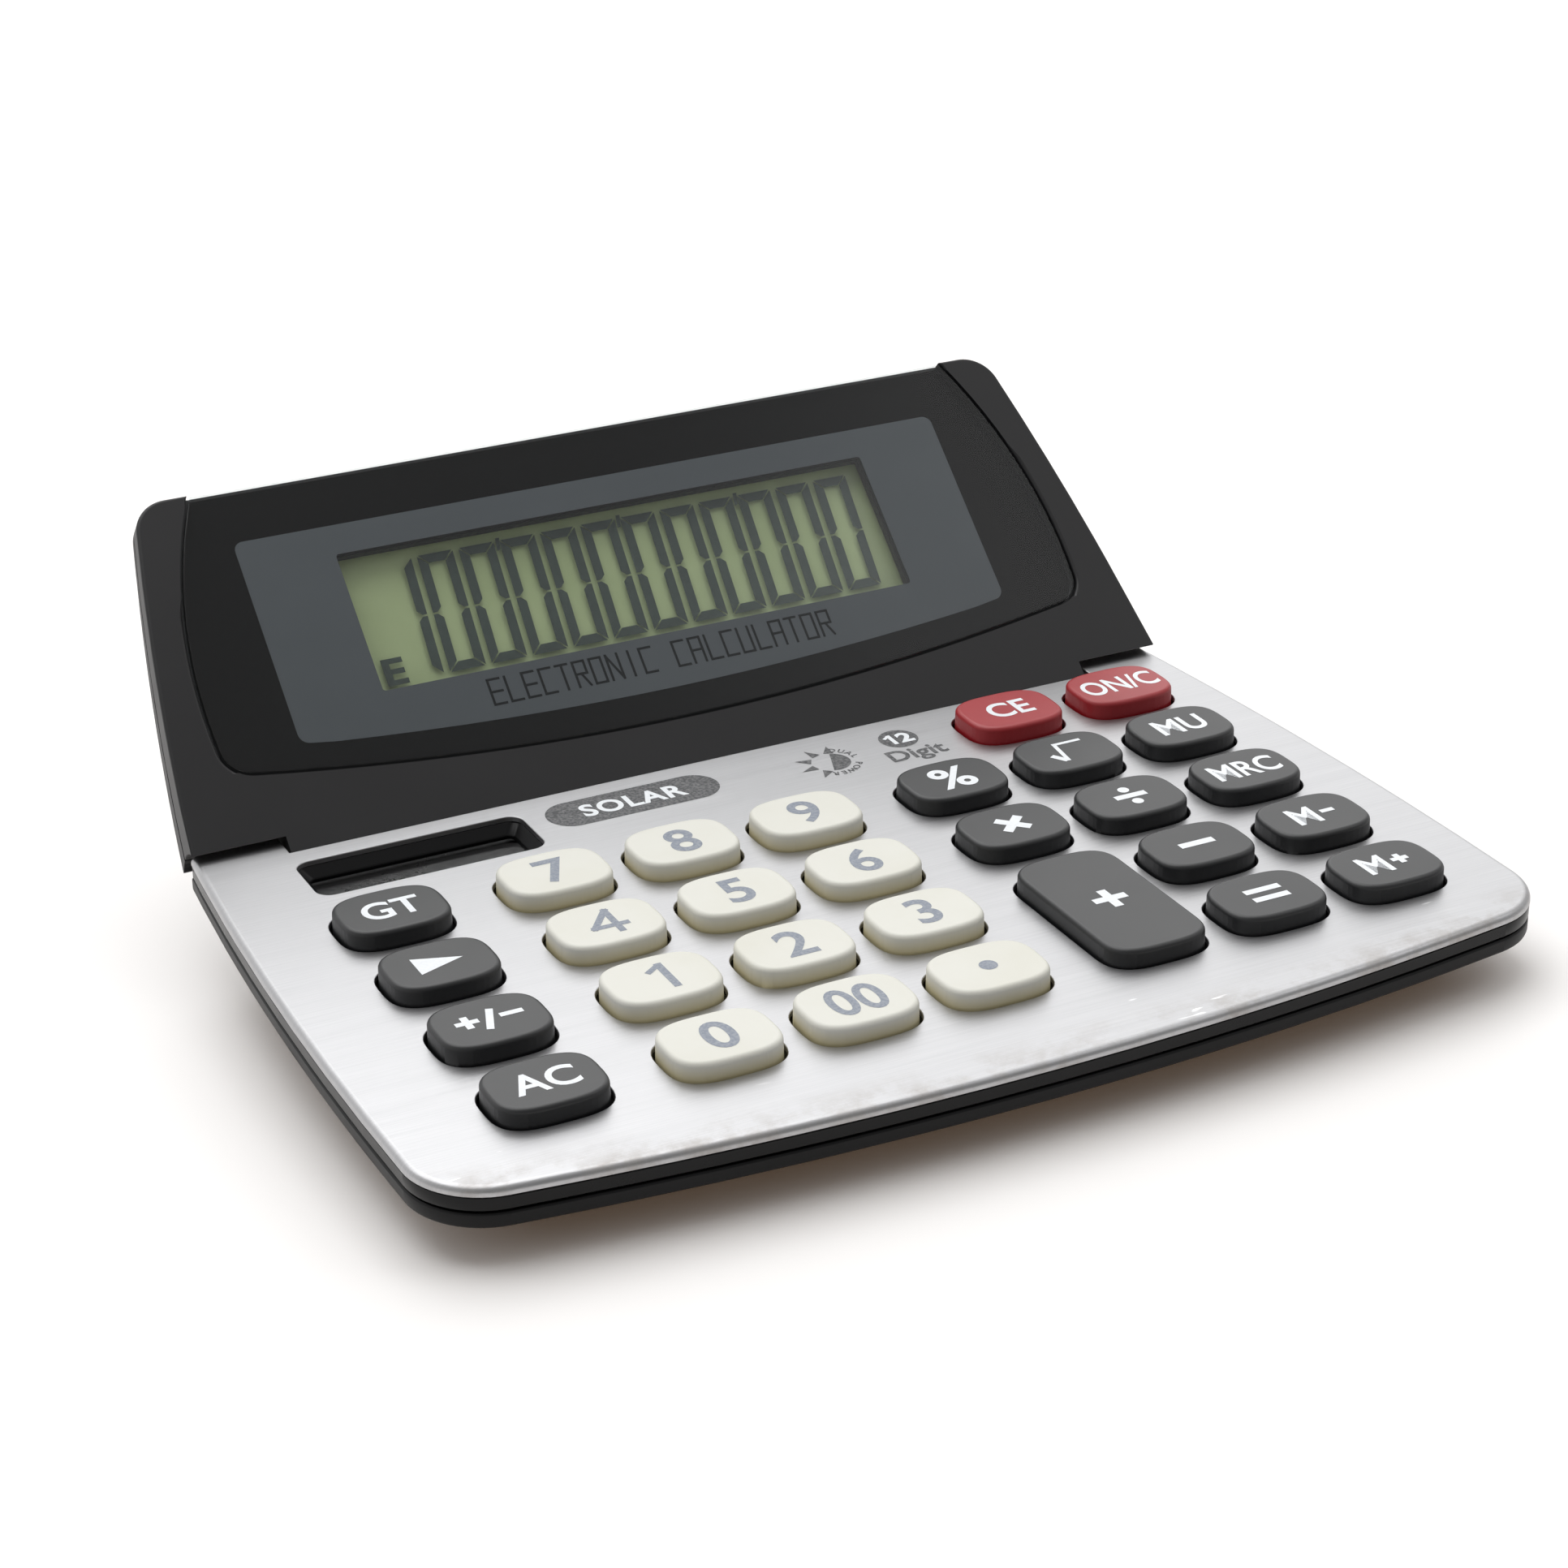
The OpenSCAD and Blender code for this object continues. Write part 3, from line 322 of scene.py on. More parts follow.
def ink(name, colour):
    """Screen printing ink: a thin even film, with pinholes 0.4 mm apart and faint gloss."""
    made = material(name)
    tree = made.node_tree
    place = add(tree, "ShaderNodeTexCoord").outputs["Object"]
    speck = add(tree, "ShaderNodeTexNoise", {"Scale": 2600.0, "Detail": 2.0}, {"Vector": place})
    pin = add(tree, "ShaderNodeMapRange", {"From Min": 0.35, "From Max": 0.75, "To Min": 0.0,
                                           "To Max": 0.16}, {"Value": speck.outputs["Fac"]})
    ground = "#ffffff" if linear(colour)[0] < 0.3 else "#b8bcc0"
    tone = add(tree, "ShaderNodeMix", {"A": linear(colour), "B": linear(ground)},
               {"Factor": pin.outputs["Result"]}, data_type="RGBA")
    gloss = add(tree, "ShaderNodeMapRange", {"To Min": 0.35, "To Max": 0.5},
                {"Value": speck.outputs["Fac"]})
    surface(tree, add(tree, "ShaderNodeBsdfPrincipled", {"IOR": 1.5},
                      {"Base Color": tone.outputs["Result"], "Roughness": gloss.outputs["Result"]}))
    return made


def lettering(words, height, bold=0.0, stretch=1.0, gap=1.0):
    """A word as flat faces, centred on the origin and height millimetres tall in all."""
    curve = bpy.data.curves.new("words", "FONT")
    curve.body, curve.size = words, 1.0
    curve.offset, curve.space_character = bold, gap
    curve.resolution_u = 6
    held = bpy.data.objects.new("words", curve)
    bpy.context.scene.collection.objects.link(held)
    drawn = held.evaluated_get(bpy.context.evaluated_depsgraph_get())
    mesh = bpy.data.meshes.new_from_object(drawn)
    bpy.data.objects.remove(held)
    bm = bmesh.new()
    bm.from_mesh(mesh)
    low = Vector((min(v.co.x for v in bm.verts), min(v.co.y for v in bm.verts), 0))
    high = Vector((max(v.co.x for v in bm.verts), max(v.co.y for v in bm.verts), 0))
    bmesh.ops.translate(bm, vec=-(low + high) / 2, verts=bm.verts)
    k = height / (high.y - low.y)
    bmesh.ops.scale(bm, vec=(k * stretch, k, 1), verts=bm.verts)
    return bm


LAYER = 0.003            # thickness of one pass of ink over another, in millimetres


def disc(radius, x=0.0, y=0.0, sides=32):
    """A flat round spot."""
    bm = bmesh.new()
    bmesh.ops.create_circle(bm, cap_ends=True, segments=sides, radius=radius,
                            matrix=Matrix.Translation((x, y, 0)))
    return bm


def bar(length, width, x=0.0, y=0.0, turn=0.0):
    """A flat straight stroke."""
    bm = bmesh.new()
    bmesh.ops.create_grid(bm, x_segments=1, y_segments=1, size=0.5,
                          matrix=Matrix.Translation((x, y, 0))
                          @ Matrix.Rotation(math.radians(turn), 4, "Z")
                          @ Matrix.Diagonal((length, width, 1, 1)))
    return bm


def line(width, *points):
    """A flat pen stroke of straight lengths through points, each a hair above the last."""
    whole = bmesh.new()
    for i, (a, b) in enumerate(zip(points, points[1:])):
        a, b = Vector(a).to_3d(), Vector(b).to_3d()
        place = Matrix.Translation((a + b) / 2 + Vector((0, 0, LAYER * i)))
        turn = Matrix.Rotation(math.atan2(b.y - a.y, b.x - a.x), 4, "Z")
        bmesh.ops.create_grid(whole, x_segments=1, y_segments=1, size=0.5,
                              matrix=place @ turn
                              @ Matrix.Diagonal(((b - a).length + width, width, 1, 1)))
    return whole


def joined(*shapes, rise=LAYER):
    """Several flat shapes as one bmesh, each a hair above the last, so that none coincide."""
    whole = shapes[0]
    for i, shape in enumerate(shapes[1:]):
        bmesh.ops.translate(shape, vec=(0, 0, rise * (i % 4 + 1)), verts=shape.verts)
        mesh = bpy.data.meshes.new("part")
        shape.to_mesh(mesh)
        shape.free()
        whole.from_mesh(mesh)
        bpy.data.meshes.remove(mesh)
    return whole


def printed(name, bm, x, y, z, look, body="base", local=DECK, slot=None):
    """Puts a flat print on a surface of a body. All its faces look out of that surface."""
    for face in bm.faces:
        if face.normal.z < 0:
            face.normal_flip()
    bmesh.ops.translate(bm, vec=(x, y, z), verts=bm.verts)
    return piece(name, bm, body, look, local=local)


dark_ink = ink("printing_ink_dark_grey", "#303134")
white_ink = ink("printing_ink_white", "#f0f3f6")
INK = 0.02               # how far the ink stands on the plate

# The bar is a round spot drawn out to both sides.
BADGE = (-14.6, -9.1)
pill = disc(3.6, sides=64)
for v in pill.verts:
    v.co.x += math.copysign(8.65, v.co.x)
printed("badge_bar", pill, *BADGE, INK, dark_ink)
printed("badge_word", lettering("SOLAR", 3.6, 0.03, 0.95, 1.1), *BADGE, 2 * INK, white_ink)

# The sun is half filled, with five pointed rays round one side and letters round the other.
RAY_FOOT, RAY_TIP, RAY_HALF = 2.75, 5.0, 0.72    # a ray's two ends, and half its width
LETTER_R = 3.65          # radius of the ring of letters
half = disc(2.6, sides=48)
bmesh.ops.bisect_plane(half, geom=half.verts[:] + half.edges[:] + half.faces[:],
                       plane_co=(0, 0, 0), plane_no=(-0.94, 0.34, 0), clear_outer=True)
rays = [half]
for turn in (72, 112, 152, 192, 232):
    a = math.radians(turn)
    out = Vector((math.cos(a), math.sin(a), 0))
    across = Vector((-out.y, out.x, 0)) * RAY_HALF
    corners = (out * RAY_FOOT - across, out * RAY_TIP, out * RAY_FOOT + across)
    ray = bmesh.new()
    ray.faces.new([ray.verts.new(v) for v in corners])
    rays.append(ray)
for i, letter in enumerate("DUAL POWER"):
    if letter != " ":
        a = math.radians(62 - 19 * i)
        small = lettering(letter, 1.0, 0.02)
        spot = Matrix.Translation((LETTER_R * math.cos(a), LETTER_R * math.sin(a), 0))
        bmesh.ops.transform(small, matrix=spot @ Matrix.Rotation(a - math.pi / 2, 4, "Z"),
                            verts=small.verts)
        rays.append(small)
printed("sun_mark", joined(*rays), 13.8, -10.95, INK, dark_ink)

# The 1 is drawn with two strokes, a stem and a flag.
NUMBER = (25.2, -8.6)
printed("digit_disc", disc(2.75, sides=48), *NUMBER, INK, dark_ink)
two = lettering("2", 3.0, 0.04, 1.05)
bmesh.ops.translate(two, vec=(0.95, 0, 0), verts=two.verts)
number = joined(line(0.62, (-0.95, -1.19), (-0.95, 1.19)),
                line(0.5, (-1.05, 1.15), (-1.7, 0.7)), two)
printed("digit_number", number, *NUMBER, 2 * INK, white_ink)
printed("digit_word", lettering("Digit", 4.3, 0.022, 0.98), 25.4, -14.0, INK, dark_ink)


# ---- Keys -------------------------------------------------------------------------------
# Twenty nine key caps moulded in ABS, dark grey, ivory and red, with a drafted skirt and a
# rounded top. The legends are printed on top: white on the dark caps, grey on the ivory.

# Satin caps: nearly black where they only reflect the table, grey where they face the light.
dark_abs = moulded("dark_grey_abs_satin", "#141517", 0.42, 0.5, 0.010, "#1e2023", 0.5, 0.8)
ivory_abs = moulded("ivory_abs_satin", "#e2e1d8", 0.46, 0.5, 0.010, "#dad8ca", 0.5)
# The skirts are painted darker and a deeper yellow than the tops, more so toward the deck: painted
# shade on the sides, which the lights reach less than the tops.
tree = ivory_abs.node_tree
place = add(tree, "ShaderNodeTexCoord").outputs["Object"]
level = add(tree, "ShaderNodeMapping", {"Rotation": (-SLOPE, 0, 0)}, {"Vector": place})
rise = add(tree, "ShaderNodeSeparateXYZ", {}, {"Vector": level.outputs[0]})
deck_z = (Matrix.Rotation(-SLOPE, 4, "X") @ DECK @ Vector((0, 0, 0))).z
depth = add(tree, "ShaderNodeMapRange", {"From Min": deck_z + 0.0017, "From Max": deck_z,
                                         "To Max": 0.75}, {"Value": rise.outputs["Z"]})
shader = next(n for n in tree.nodes if n.type == "BSDF_PRINCIPLED")
surface_tone = shader.inputs["Base Color"].links[0].from_socket
# Painted shade: the ivory turns to a darker, deeper yellow down the skirt toward the deck.
painted_skirt_shade = add(tree, "ShaderNodeMix", {"B": linear("#cbbd86")},
             {"Factor": depth.outputs["Result"], "A": surface_tone}, data_type="RGBA")
tree.links.new(painted_skirt_shade.outputs["Result"], shader.inputs["Base Color"])
red_abs = moulded("red_abs_satin", "#a3141e", 0.42, 0.5, 0.010, "#8a1019", 0.5, 0.8)
grey_ink = ink("printing_ink_blue_grey", "#7b8391")


def stroke(*points):
    """A flat face through points."""
    bm = bmesh.new()
    bm.faces.new([bm.verts.new((x, y, 0)) for x, y in points])
    return bm


def plus():
    """The plus sign."""
    return joined(bar(4.6, 1.25), bar(1.25, 4.6))


def times():
    """The multiplication sign."""
    return joined(bar(4.8, 1.3, turn=45), bar(4.8, 1.3, turn=-45))


def divide():
    """The division sign."""
    return joined(bar(4.6, 1.15), disc(0.78, 0, 1.8, 20), disc(0.78, 0, -1.8, 20))


def root():
    """The square root sign: a thick tick, then a thin stem and bar."""
    return joined(line(0.9, (-2.9, -0.9), (-2.1, -2.2)),
                  line(0.6, (-1.7, -2.4), (-1.1, 2.4), (2.6, 2.4)))


def backspace():
    """The solid arrow head of the backspace key."""
    return stroke((-2.6, 2.1), (-2.6, -2.1), (3.4, 0))


def sign():
    """Plus, stroke, minus."""
    return joined(bar(2.9, 0.9, -2.7, 0.3), bar(0.9, 2.9, -2.7, 0.3),
                  bar(4.8, 0.9, 0, 0, 70), bar(2.9, 0.9, 2.8, 0.3))


def one():
    """The figure 1 with its flag."""
    return joined(line(1.0, (0.6, -2.6), (0.6, 2.6)), line(0.8, (0.45, 2.6), (-1.1, 1.5)))


def four():
    """The figure 4, in one run of the pen."""
    return line(0.9, (1.0, -2.7), (1.0, 2.7), (-1.9, -1.2), (2.2, -1.2))


CAPS = 4.5               # height of the letters on the keys
FIGURES = 6.3            # and of the figures
RIM = 0.05               # points within this of the top face belong to it
FULLER, DRAFT = 0.15, 0.08     # how far a skirt stands out all round, and its top draws in

for node, shape, cap, print_look in (
        ("key_gt", lambda: lettering("GT", CAPS, 0.02, 0.95), dark_abs, white_ink),
        ("key_backspace", backspace, dark_abs, white_ink),
        ("key_sign", sign, dark_abs, white_ink),
        ("key_ac", lambda: lettering("AC", CAPS, 0.02, 0.95), dark_abs, white_ink),
        ("key_7", lambda: lettering("7", FIGURES, 0.018), ivory_abs, grey_ink),
        ("key_4", four, ivory_abs, grey_ink),
        ("key_1", one, ivory_abs, grey_ink),
        ("key_0", lambda: lettering("0", FIGURES, 0.018), ivory_abs, grey_ink),
        ("key_8", lambda: lettering("8", FIGURES, 0.018), ivory_abs, grey_ink),
        ("key_5", lambda: lettering("5", FIGURES, 0.018), ivory_abs, grey_ink),
        ("key_2", lambda: lettering("2", FIGURES, 0.018), ivory_abs, grey_ink),
        ("key_00", lambda: lettering("00", FIGURES, 0.018, 0.86), ivory_abs, grey_ink),
        ("key_9", lambda: lettering("9", FIGURES, 0.018), ivory_abs, grey_ink),
        ("key_6", lambda: lettering("6", FIGURES, 0.018), ivory_abs, grey_ink),
        ("key_3", lambda: lettering("3", FIGURES, 0.018), ivory_abs, grey_ink),
        ("key_point", lambda: disc(1.15), ivory_abs, grey_ink),
        ("key_percent", lambda: lettering("%", CAPS + 1.6, 0.022), dark_abs, white_ink),
        ("key_times", times, dark_abs, white_ink),
        ("key_plus", plus, dark_abs, white_ink),
        ("key_ce", lambda: lettering("CE", CAPS, 0.02, 0.9), red_abs, white_ink),
        ("key_root", root, dark_abs, white_ink),
        ("key_divide", divide, dark_abs, white_ink),
        ("key_minus", lambda: bar(5.0, 1.25), dark_abs, white_ink),
        ("key_equals", lambda: joined(bar(5.1, 1.1, 0, 1.1), bar(5.1, 1.1, 0, -1.1)), dark_abs,
         white_ink),
        ("key_on", lambda: lettering("ON/C", CAPS, 0.018, 0.74), red_abs, white_ink),
        ("key_mu", lambda: lettering("MU", CAPS, 0.02, 0.85), dark_abs, white_ink),
        ("key_mrc", lambda: lettering("MRC", CAPS, 0.02, 0.8), dark_abs, white_ink),
        ("key_m_minus", lambda: joined(lettering("M", CAPS, 0.02, 0.85), bar(2.0, 0.85, 3.6, 0.1)),
         dark_abs, white_ink),
        ("key_m_plus", lambda: joined(lettering("M", CAPS, 0.02, 0.85), bar(2.4, 0.85, 3.8, 0.1),
                                      bar(0.85, 2.4, 3.8, 0.1)), dark_abs, white_ink)):
    bm = solid_of(node)
    high = max(v.co.z for v in bm.verts)
    top = [v for v in bm.verts if v.co.z > high - RIM]
    middle = Vector(((min(v.co.x for v in top) + max(v.co.x for v in top)) / 2,
                     (min(v.co.y for v in top) + max(v.co.y for v in top)) / 2, high))
    reach = Vector((max(v.co.x for v in top), max(v.co.y for v in top), high)) - middle
    walls = [f for f in bm.faces
             if abs(f.normal.z) < 0.1 and max(v.co.z for v in f.verts) > high - RIM]
    skirt = list({v for f in walls for v in f.verts})
    for verts, grow in ((skirt, FULLER), (top, -DRAFT)):
        bmesh.ops.scale(bm, vec=(1 + grow / reach.x, 1 + grow / reach.y, 1), verts=verts,
                        space=Matrix.Translation(-middle))
    soften(bm, 0.6, 7, lambda p: p.z > high - RIM, 50)
    piece(node + "_cap", bm, node, cap, stands_for=[node], smooth=50)
    legend = shape()
    width = [v.co.x for v in legend.verts]
    bmesh.ops.translate(legend, vec=(-(min(width) + max(width)) / 2, 0, 0), verts=legend.verts)
    printed(node + "_legend", legend, middle.x, middle.y, high + INK, print_look, node)


# ---- Solar window -----------------------------------------------------------------------
# A dark glass solar cell under a clear window, at the bottom of a bevelled well. The cell is
# amorphous silicon, nearly black with fine lighter lines between its fields.

cell = material("amorphous_silicon_cell")
tree = cell.node_tree
place = add(tree, "ShaderNodeTexCoord").outputs["Object"]
wave = add(tree, "ShaderNodeTexWave", {"Scale": 22.0, "Distortion": 0.0}, {"Vector": place},
           wave_type="BANDS", bands_direction="X")
thin = add(tree, "ShaderNodeMapRange", {"From Min": 0.985, "From Max": 1.0},
           {"Value": wave.outputs["Fac"]})
tone = add(tree, "ShaderNodeMix", {"A": linear("#1a1214"), "B": linear("#4a4048")},
           {"Factor": thin.outputs["Result"]}, data_type="RGBA")
blot = add(tree, "ShaderNodeTexNoise", {"Scale": 120.0}, {"Vector": place})
gloss = add(tree, "ShaderNodeMapRange", {"To Min": 0.12, "To Max": 0.2},
            {"Value": blot.outputs["Fac"]})
surface(tree, add(tree, "ShaderNodeBsdfPrincipled", {"IOR": 1.52},
                  {"Base Color": tone.outputs["Result"], "Roughness": gloss.outputs["Result"]}))


def clear_pane(name, tint, index, roughness):
    """A clear pane: it lets what lies behind show, and adds only its own surface gloss, which
    grows as it is seen more edge on. Finger smears some 20 mm across change it a little."""
    made = material(name)
    tree = made.node_tree
    place = add(tree, "ShaderNodeTexCoord").outputs["Object"]
    smear = add(tree, "ShaderNodeTexNoise", {"Scale": 45.0, "Detail": 4.0}, {"Vector": place})
    haze = add(tree, "ShaderNodeMapRange", {"To Min": roughness, "To Max": roughness + 0.05},
               {"Value": smear.outputs["Fac"]})
    through = add(tree, "ShaderNodeBsdfTransparent", {"Color": linear(tint)})
    mirror = add(tree, "ShaderNodeBsdfGlossy", {"Color": linear("#ffffff")},
                 {"Roughness": haze.outputs["Result"]})
    tilt = add(tree, "ShaderNodeLayerWeight", {"Blend": 0.5})
    steep = add(tree, "ShaderNodeMath", {1: 5.0}, {0: tilt.outputs["Facing"]}, operation="POWER")
    least = ((index - 1) / (index + 1)) ** 2
    share = add(tree, "ShaderNodeMath", {1: 1 - least, 2: least}, {0: steep.outputs[0]},
                operation="MULTIPLY_ADD")
    surface(tree, add(tree, "ShaderNodeMixShader", {},
                      {0: share.outputs[0], 1: through.outputs[0], 2: mirror.outputs[0]}))
    return made


window_clear = clear_pane("clear_polycarbonate", "#c8c2c2", 1.5, 0.05)


# ---- Display head shells ----------------------------------------------------------------
# Two black ABS mouldings with a fine satin grain, screwed together from behind. The front
# one carries the hinge barrel and the groove that frames the display lens.

TILT = math.radians(42)  # of the head above the deck, at rest
HEAD = (Matrix.Translation(hinge["pos_m"]) @ Matrix.Rotation(SLOPE + TILT, 4, "X")
        @ Matrix.Scale(0.001, 4))
FRONT = 3.2              # the head's front face in its own frame, in millimetres
# Satin black: a dull sheen toward the light, with no glint.
head_abs = moulded("black_abs_satin_head", "#151416", 0.44, 0.3, 0.010, "#1e1d1f", 0.45, 0.5)
bm = solid_of("head_front_shell", HEAD)
soften(bm, 0.45, 6, lambda p: p.z > FRONT - 0.02 and (p.y > 50 or abs(p.x) > 62))
soften(bm, 0.15, 2, lambda p: p.z < FRONT - 0.02 and abs(p.x) > 60)
piece("head_front", bm, "head", head_abs, HEAD, ["head_front_shell"])
bm = solid_of("head_back_shell", HEAD)
soften(bm, 0.4, 4, lambda p: p.z < -4.5 and (p.y < 9 or p.y > 40 or abs(p.x) > 56), 20)
piece("head_back", bm, "head", head_abs, HEAD, ["head_back_shell"])


# ---- Display lens -----------------------------------------------------------------------
# A clear acrylic sheet, let into the head and printed on its back: black round the border,
# a smoke grey window inside it, and clear over the liquid crystal view.

acrylic = clear_pane("clear_acrylic_polished", "#f4f6f6", 1.36, 0.2)
bm = solid_of("display_lens", HEAD)
soften(bm, 0.2, 2, lambda p: p.z > FRONT - 0.02)
piece("lens_sheet", bm, "head", acrylic, HEAD, ["display_lens"])

LCD_W, LCD_H, LCD_Y = 79.4, 20.8, 20.8     # the view's width, height and lower edge


def rounded_window(points, radius, segments=6):
    """A flat outline with its corners rounded, as edges only."""
    bm = bmesh.new()
    verts = [bm.verts.new((x, y, 0)) for x, y in points]
    for i, v in enumerate(verts):
        bm.edges.new((v, verts[(i + 1) % len(verts)]))
    sharp = []
    for v in bm.verts:
        before, after = (e.other_vert(v).co - v.co for e in v.link_edges)
        if abs(before.angle(after) - math.pi) > 0.6:
            sharp.append(v)
    bmesh.ops.bevel(bm, geom=sharp, offset=radius, affect="VERTICES", segments=segments,
                    profile=0.5, material=-1)
    return bm


def between(outer, inner):
    """The flat sheet between an outer and an inner outline."""
    whole = joined(outer, inner, rise=0)
    bmesh.ops.bridge_loops(whole, edges=whole.edges[:])
    return whole


def lens_edge():
    """The outline of the lens, from the solid's own underside, a trace smaller."""
    bm = solid_of("display_lens", HEAD)
    under = [f for f in bm.faces if f.normal.z < -0.9]
    bmesh.ops.delete(bm, geom=[f for f in bm.faces if f not in under], context="FACES")
    inner = [e for e in bm.edges if len(e.link_faces) > 1]
    bmesh.ops.delete(bm, geom=bm.faces[:], context="FACES_ONLY")
    bmesh.ops.delete(bm, geom=[e for e in inner if e.is_valid], context="EDGES")
    for v in bm.verts:
        v.co.z = 0
    bmesh.ops.scale(bm, vec=(0.998, 0.998, 1), verts=bm.verts,
                    space=Matrix.Translation((0, -30, 0)))
    return bm


# The grey window is straight above and at its sides, and bowed below.
SIDE_X, SIDE_TOP, SIDE_LOW, BOW_LOW, BOW = 52.8, 46.0, 15.9, 12.75, 0.00105
WINDOW = [(-SIDE_X, SIDE_TOP), (-SIDE_X, SIDE_LOW),
          *[(x, BOW_LOW + BOW * x * x) for x in range(-48, 49, 6)],
          (SIDE_X, SIDE_LOW), (SIDE_X, SIDE_TOP)]
view = [(-LCD_W / 2, LCD_Y), (LCD_W / 2, LCD_Y), (LCD_W / 2, LCD_Y + LCD_H),
        (-LCD_W / 2, LCD_Y + LCD_H)]
# Opaque inks seen through the sheet, smooth and even.
black_print = moulded("back_printed_black", "#0a0a0b", 0.6, 1.5, 0.001, "#101011", 0.5, 0.1)
grey_print = moulded("back_printed_smoke_grey", "#585c60", 0.6, 1.5, 0.001, "#5f6367", 0.5, 0.2)
word_print = moulded("back_printed_charcoal", "#15171a", 0.6, 1.5, 0.001, "#1b1d20", 0.5, 0.2)
LENS_T = 1.5             # thickness of the sheet
UNDER = FRONT - LENS_T + 0.02    # the prints lie just inside its back
border = between(lens_edge(), rounded_window(WINDOW, 1.3))
printed("lens_border_print", border, 0, 0, UNDER, black_print, "head", HEAD, "lens_acrylic")
grey = between(rounded_window(WINDOW, 1.3), rounded_window(view, 0.4, 3))
printed("lens_window_print", grey, 0, 0, UNDER, grey_print, "head", HEAD, "lens_acrylic")

# The window carries two words in thin squared letters, each drawn with straight strokes
# between the nine points of a grid of three rows, numbered from the lower left.
COLUMN, ROW, ADVANCE = 0.82, 1.85, 2.47
STROKES = {"E": "63 30 68 35 02", "L": "63 30 02", "C": "68 63 30 02", "T": "68 74 41",
           "R": "68 63 30 35 85 42", "O": "68 63 30 02 25 58", "N": "63 30 64 42 25 58",
           "I": "74 41", "A": "63 30 68 58 25 35", "U": "63 30 02 25 58"}
letters = []
for i, letter in enumerate("ELECTRONIC CALCULATOR"):
    for ends in STROKES.get(letter, "").split():
        ends = [(int(n) % 3 * COLUMN + ADVANCE * i, int(n) // 3 * ROW) for n in ends]
        letters.append(line(0.36, *ends))
printed("window_words", joined(*letters), -25.5, 15.6, UNDER + 0.01, word_print, "head", HEAD,
        "lens_acrylic")


# ---- Liquid crystal display -------------------------------------------------------------
# Two panes of glass with the crystal between them, over a satin silver green foil. The dark
# segments lie between the panes, so that they throw a soft shadow on the foil behind.

glass = clear_pane("polariser_film", "#f2f4e6", 1.35, 0.12)
foil = moulded("reflector_foil_silver_green", "#dfe8c6", 0.55, 0.25, 0.01, "#bcc89f", 0.5)
segment = moulded("liquid_crystal_dark", "#46515a", 0.6, 1.0, 0.001, "#414b52", 0.5)
PANE_Z, SEGMENT_Z = -0.52, -1.05     # heights of the front pane's face and of the segments
pane = printed("lcd_pane", bar(LCD_W + 2, LCD_H + 2), 0, LCD_Y + LCD_H / 2, PANE_Z, glass,
               "head", HEAD, "lcd_glass")
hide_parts("lcd_front_glass")


def figure(which, w=5.2, h=17.8, t=1.35, g=0.14, lean=0.06):
    """Segments of a figure, w by h, with strokes t thick and gaps g between them."""
    a, b = w / 2, h / 2
    parts = {
        "a": [(-a + g, b), (a - g, b), (a - t - g, b - t), (-a + t + g, b - t)],
        "d": [(-a + t + g, -b + t), (a - t - g, -b + t), (a - g, -b), (-a + g, -b)],
        "b": [(a, b - g), (a, g), (a - t / 2, g), (a - t, t / 2 + g), (a - t, b - t - g)],
        "c": [(a, -g), (a, -b + g), (a - t, -b + t + g), (a - t, -t / 2 - g), (a - t / 2, -g)],
        "f": [(-a, b - g), (-a + t, b - t - g), (-a + t, t / 2 + g), (-a + t / 2, g), (-a, g)],
        "e": [(-a, -g), (-a + t / 2, -g), (-a + t, -t / 2 - g), (-a + t, -b + t + g), (-a, -b + g)],
    }
    return joined(*[stroke(*[(x + lean * y, y) for x, y in parts[s]]) for s in which])


# A one and eleven noughts, with a mark after each third figure, and an E in the lower corner.
PITCH, FIRST = 6.05, LCD_W / 2 - 5.0
glyphs = []
for i in range(12):
    glyph = figure("bc" if i == 11 else "abcdef")
    bmesh.ops.translate(glyph, vec=(FIRST - i * PITCH, LCD_Y + LCD_H / 2 + 0.4, 0),
                        verts=glyph.verts)
    glyphs.append(glyph)
for i in (3, 6, 9):
    comma = stroke((0, 0), (0.5, 0.1), (0.9, 1.9), (0.3, 1.9))
    bmesh.ops.translate(comma, vec=(FIRST - (i - 0.5) * PITCH + 0.2, LCD_Y + LCD_H - 2.6, 0),
                        verts=comma.verts)
    glyphs.append(comma)
error = lettering("E", 4.0, 0.03, 1.25)
bmesh.ops.translate(error, vec=(-LCD_W / 2 + 3.4, LCD_Y + 3.6, 0), verts=error.verts)
glyphs.append(error)
printed("lcd_segments", joined(*glyphs), 0, 0, SEGMENT_Z, segment, "head", HEAD, "lcd_glass")


# ---- Small and hidden parts -------------------------------------------------------------
# These keep their plain forms: plated screws, pins and cell, brass contacts and washers, rubber
# feet, and inside the silicone key mat, the boards and the flat cable.

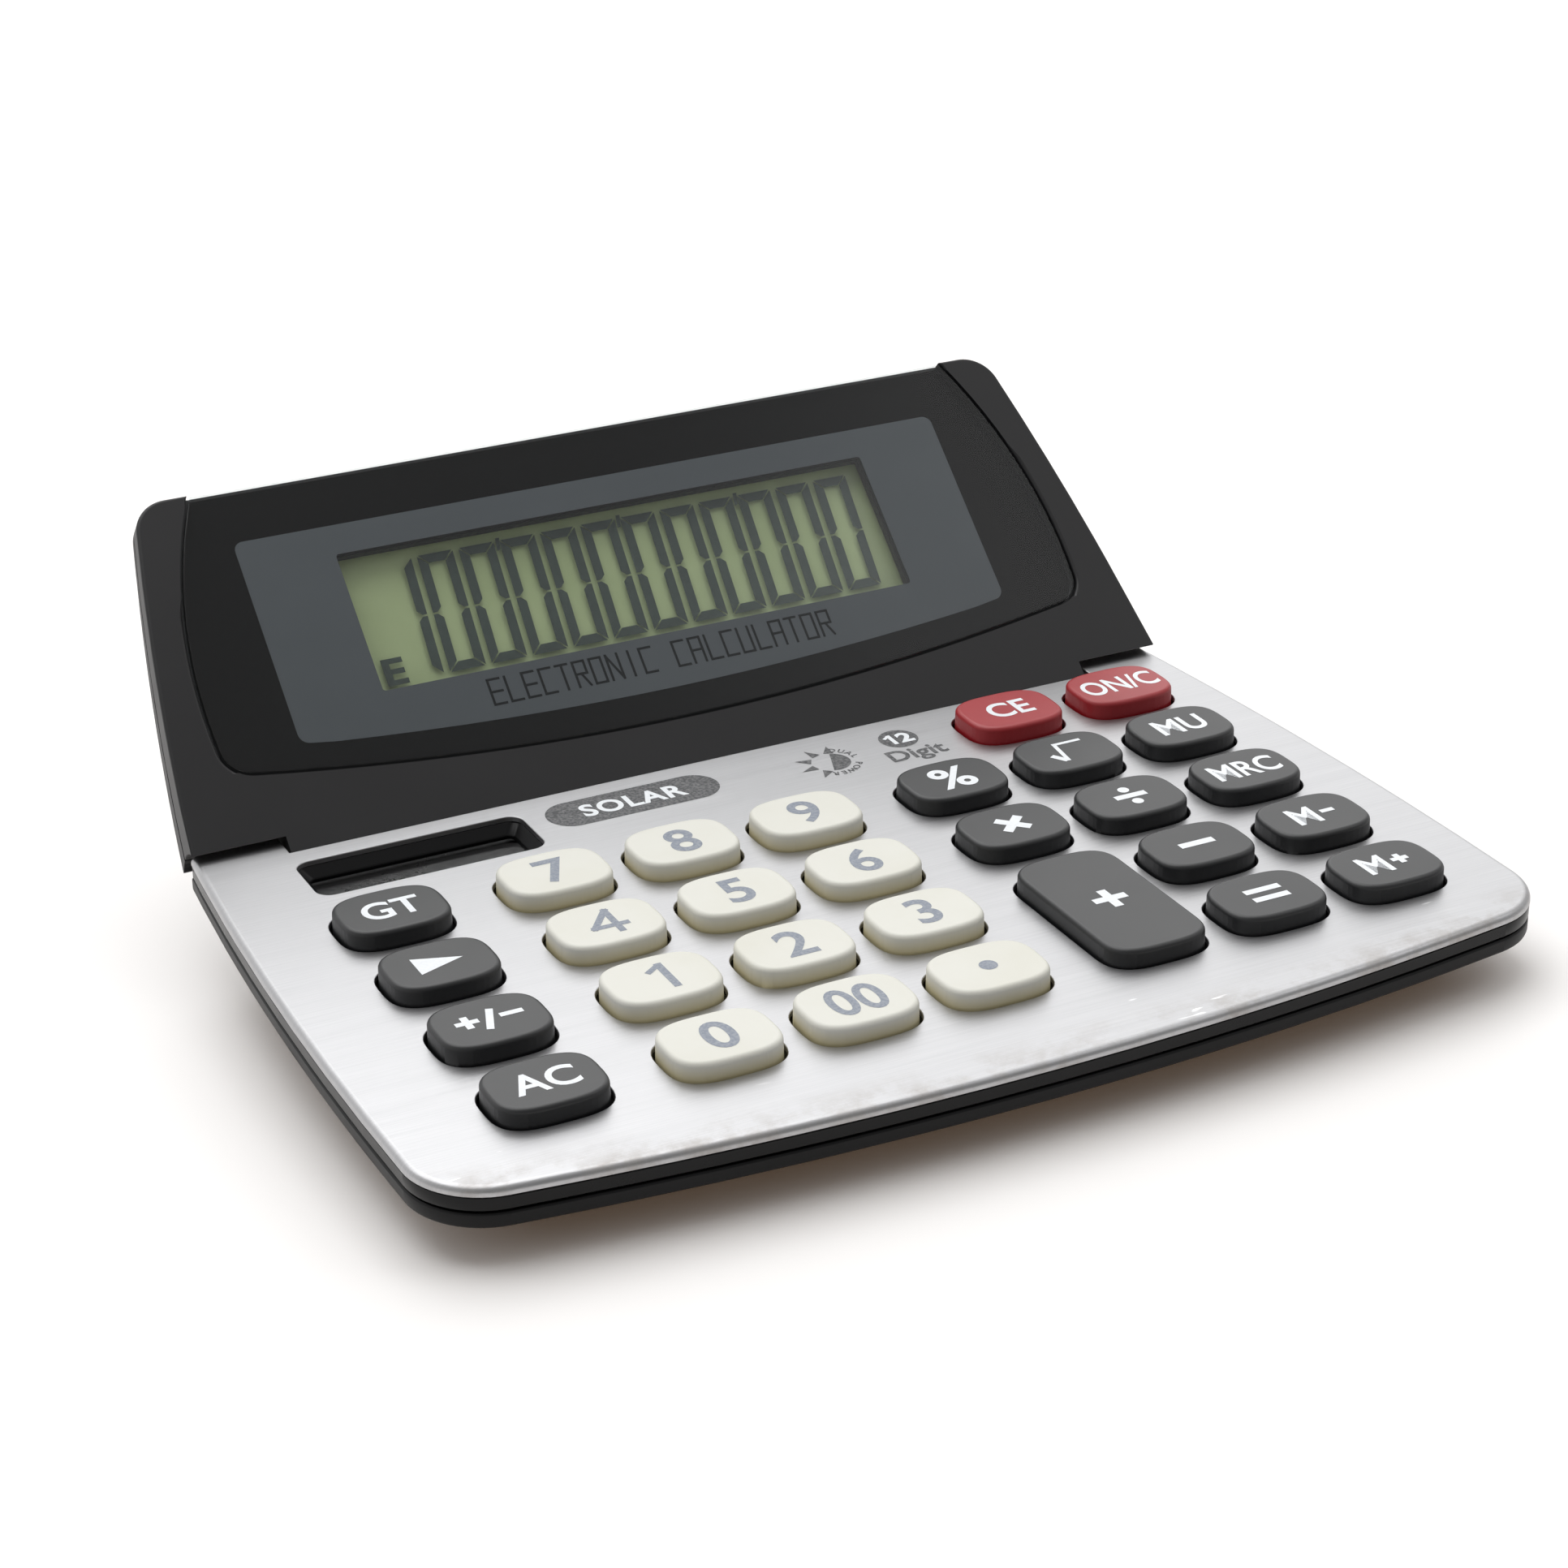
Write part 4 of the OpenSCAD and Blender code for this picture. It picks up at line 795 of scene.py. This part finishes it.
def plated(name, colour, roughness, grain):
    """Plated metal: grain is the size of the faint mottle of the plating, in millimetres."""
    made = material(name)
    tree = made.node_tree
    place = add(tree, "ShaderNodeTexCoord").outputs["Object"]
    mottle = add(tree, "ShaderNodeTexNoise", {"Scale": 1000 / grain, "Detail": 4.0},
                 {"Vector": place})
    dark = [c * 0.72 for c in linear(colour)[:3]] + [1]
    tone = add(tree, "ShaderNodeMix", {"A": linear(colour), "B": dark},
               {"Factor": mottle.outputs["Fac"]}, data_type="RGBA")
    gloss = add(tree, "ShaderNodeMapRange",
                {"To Min": roughness - 0.08, "To Max": roughness + 0.1},
                {"Value": mottle.outputs["Fac"]})
    surface(tree, add(tree, "ShaderNodeBsdfPrincipled", {"Metallic": 1.0},
                      {"Base Color": tone.outputs["Result"], "Roughness": gloss.outputs["Result"]}))
    return made


zinc = plated("zinc_plated_steel", "#b4b6b8", 0.32, 0.8)
nickel = plated("nickel_plated_steel", "#c9c8c2", 0.25, 1.2)
brass = plated("spring_brass", "#c8a560", 0.3, 1.0)
rubber = moulded("moulded_black_rubber", "#141414", 0.75, 0.3, 0.03, "#2a2a28", 0.6)
silicone = moulded("translucent_silicone", "#bfc0b8", 0.6, 0.8, 0.01, "#a9aaa2", 0.5)
carbon = moulded("carbon_filled_rubber", "#0c0c0c", 0.7, 0.3, 0.01)
phenolic = moulded("phenolic_board", "#7a5a30", 0.5, 0.6, 0.01, "#6a4c28", 0.6)
resist = moulded("green_solder_resist", "#1c5a34", 0.3, 1.2, 0.005, "#17482a", 0.5)
epoxy = moulded("black_epoxy_blob", "#101010", 0.15, 3.0, 0.01)
sleeve = moulded("shrink_sleeve_blue", "#26325c", 0.3, 1.5, 0.005)
polyimide = moulded("polyimide_film", "#a8682a", 0.25, 1.5, 0.005, "#8f5520", 0.5)
bezel_abs = moulded("black_abs_bezel", "#0d0d0e", 0.6, 0.3, 0.01)
for node, look in (
        ("key_mat", silicone), ("carbon_pills", carbon), ("main_board", phenolic),
        ("chip_blob", epoxy), ("capacitor", sleeve), ("solar_window", window_clear),
        ("solar_cell", cell), ("button_cell", nickel), ("cell_contacts", brass),
        ("battery_cover", case_abs), ("battery_cover_screw", zinc), ("case_screws", zinc),
        ("rubber_feet", rubber), ("hinge_pins", zinc), ("friction_washers", brass),
        ("ribbon_lower", polyimide), ("ribbon_upper", polyimide), ("lcd_bezel", bezel_abs),
        ("lcd_rear_glass", foil), ("lcd_reflector", foil),
        ("zebra_strip", carbon), ("display_board", resist), ("head_screws", zinc)):
    mesh = frame["nodes"][node].data
    mesh.materials.clear()
    mesh.materials.append(look)
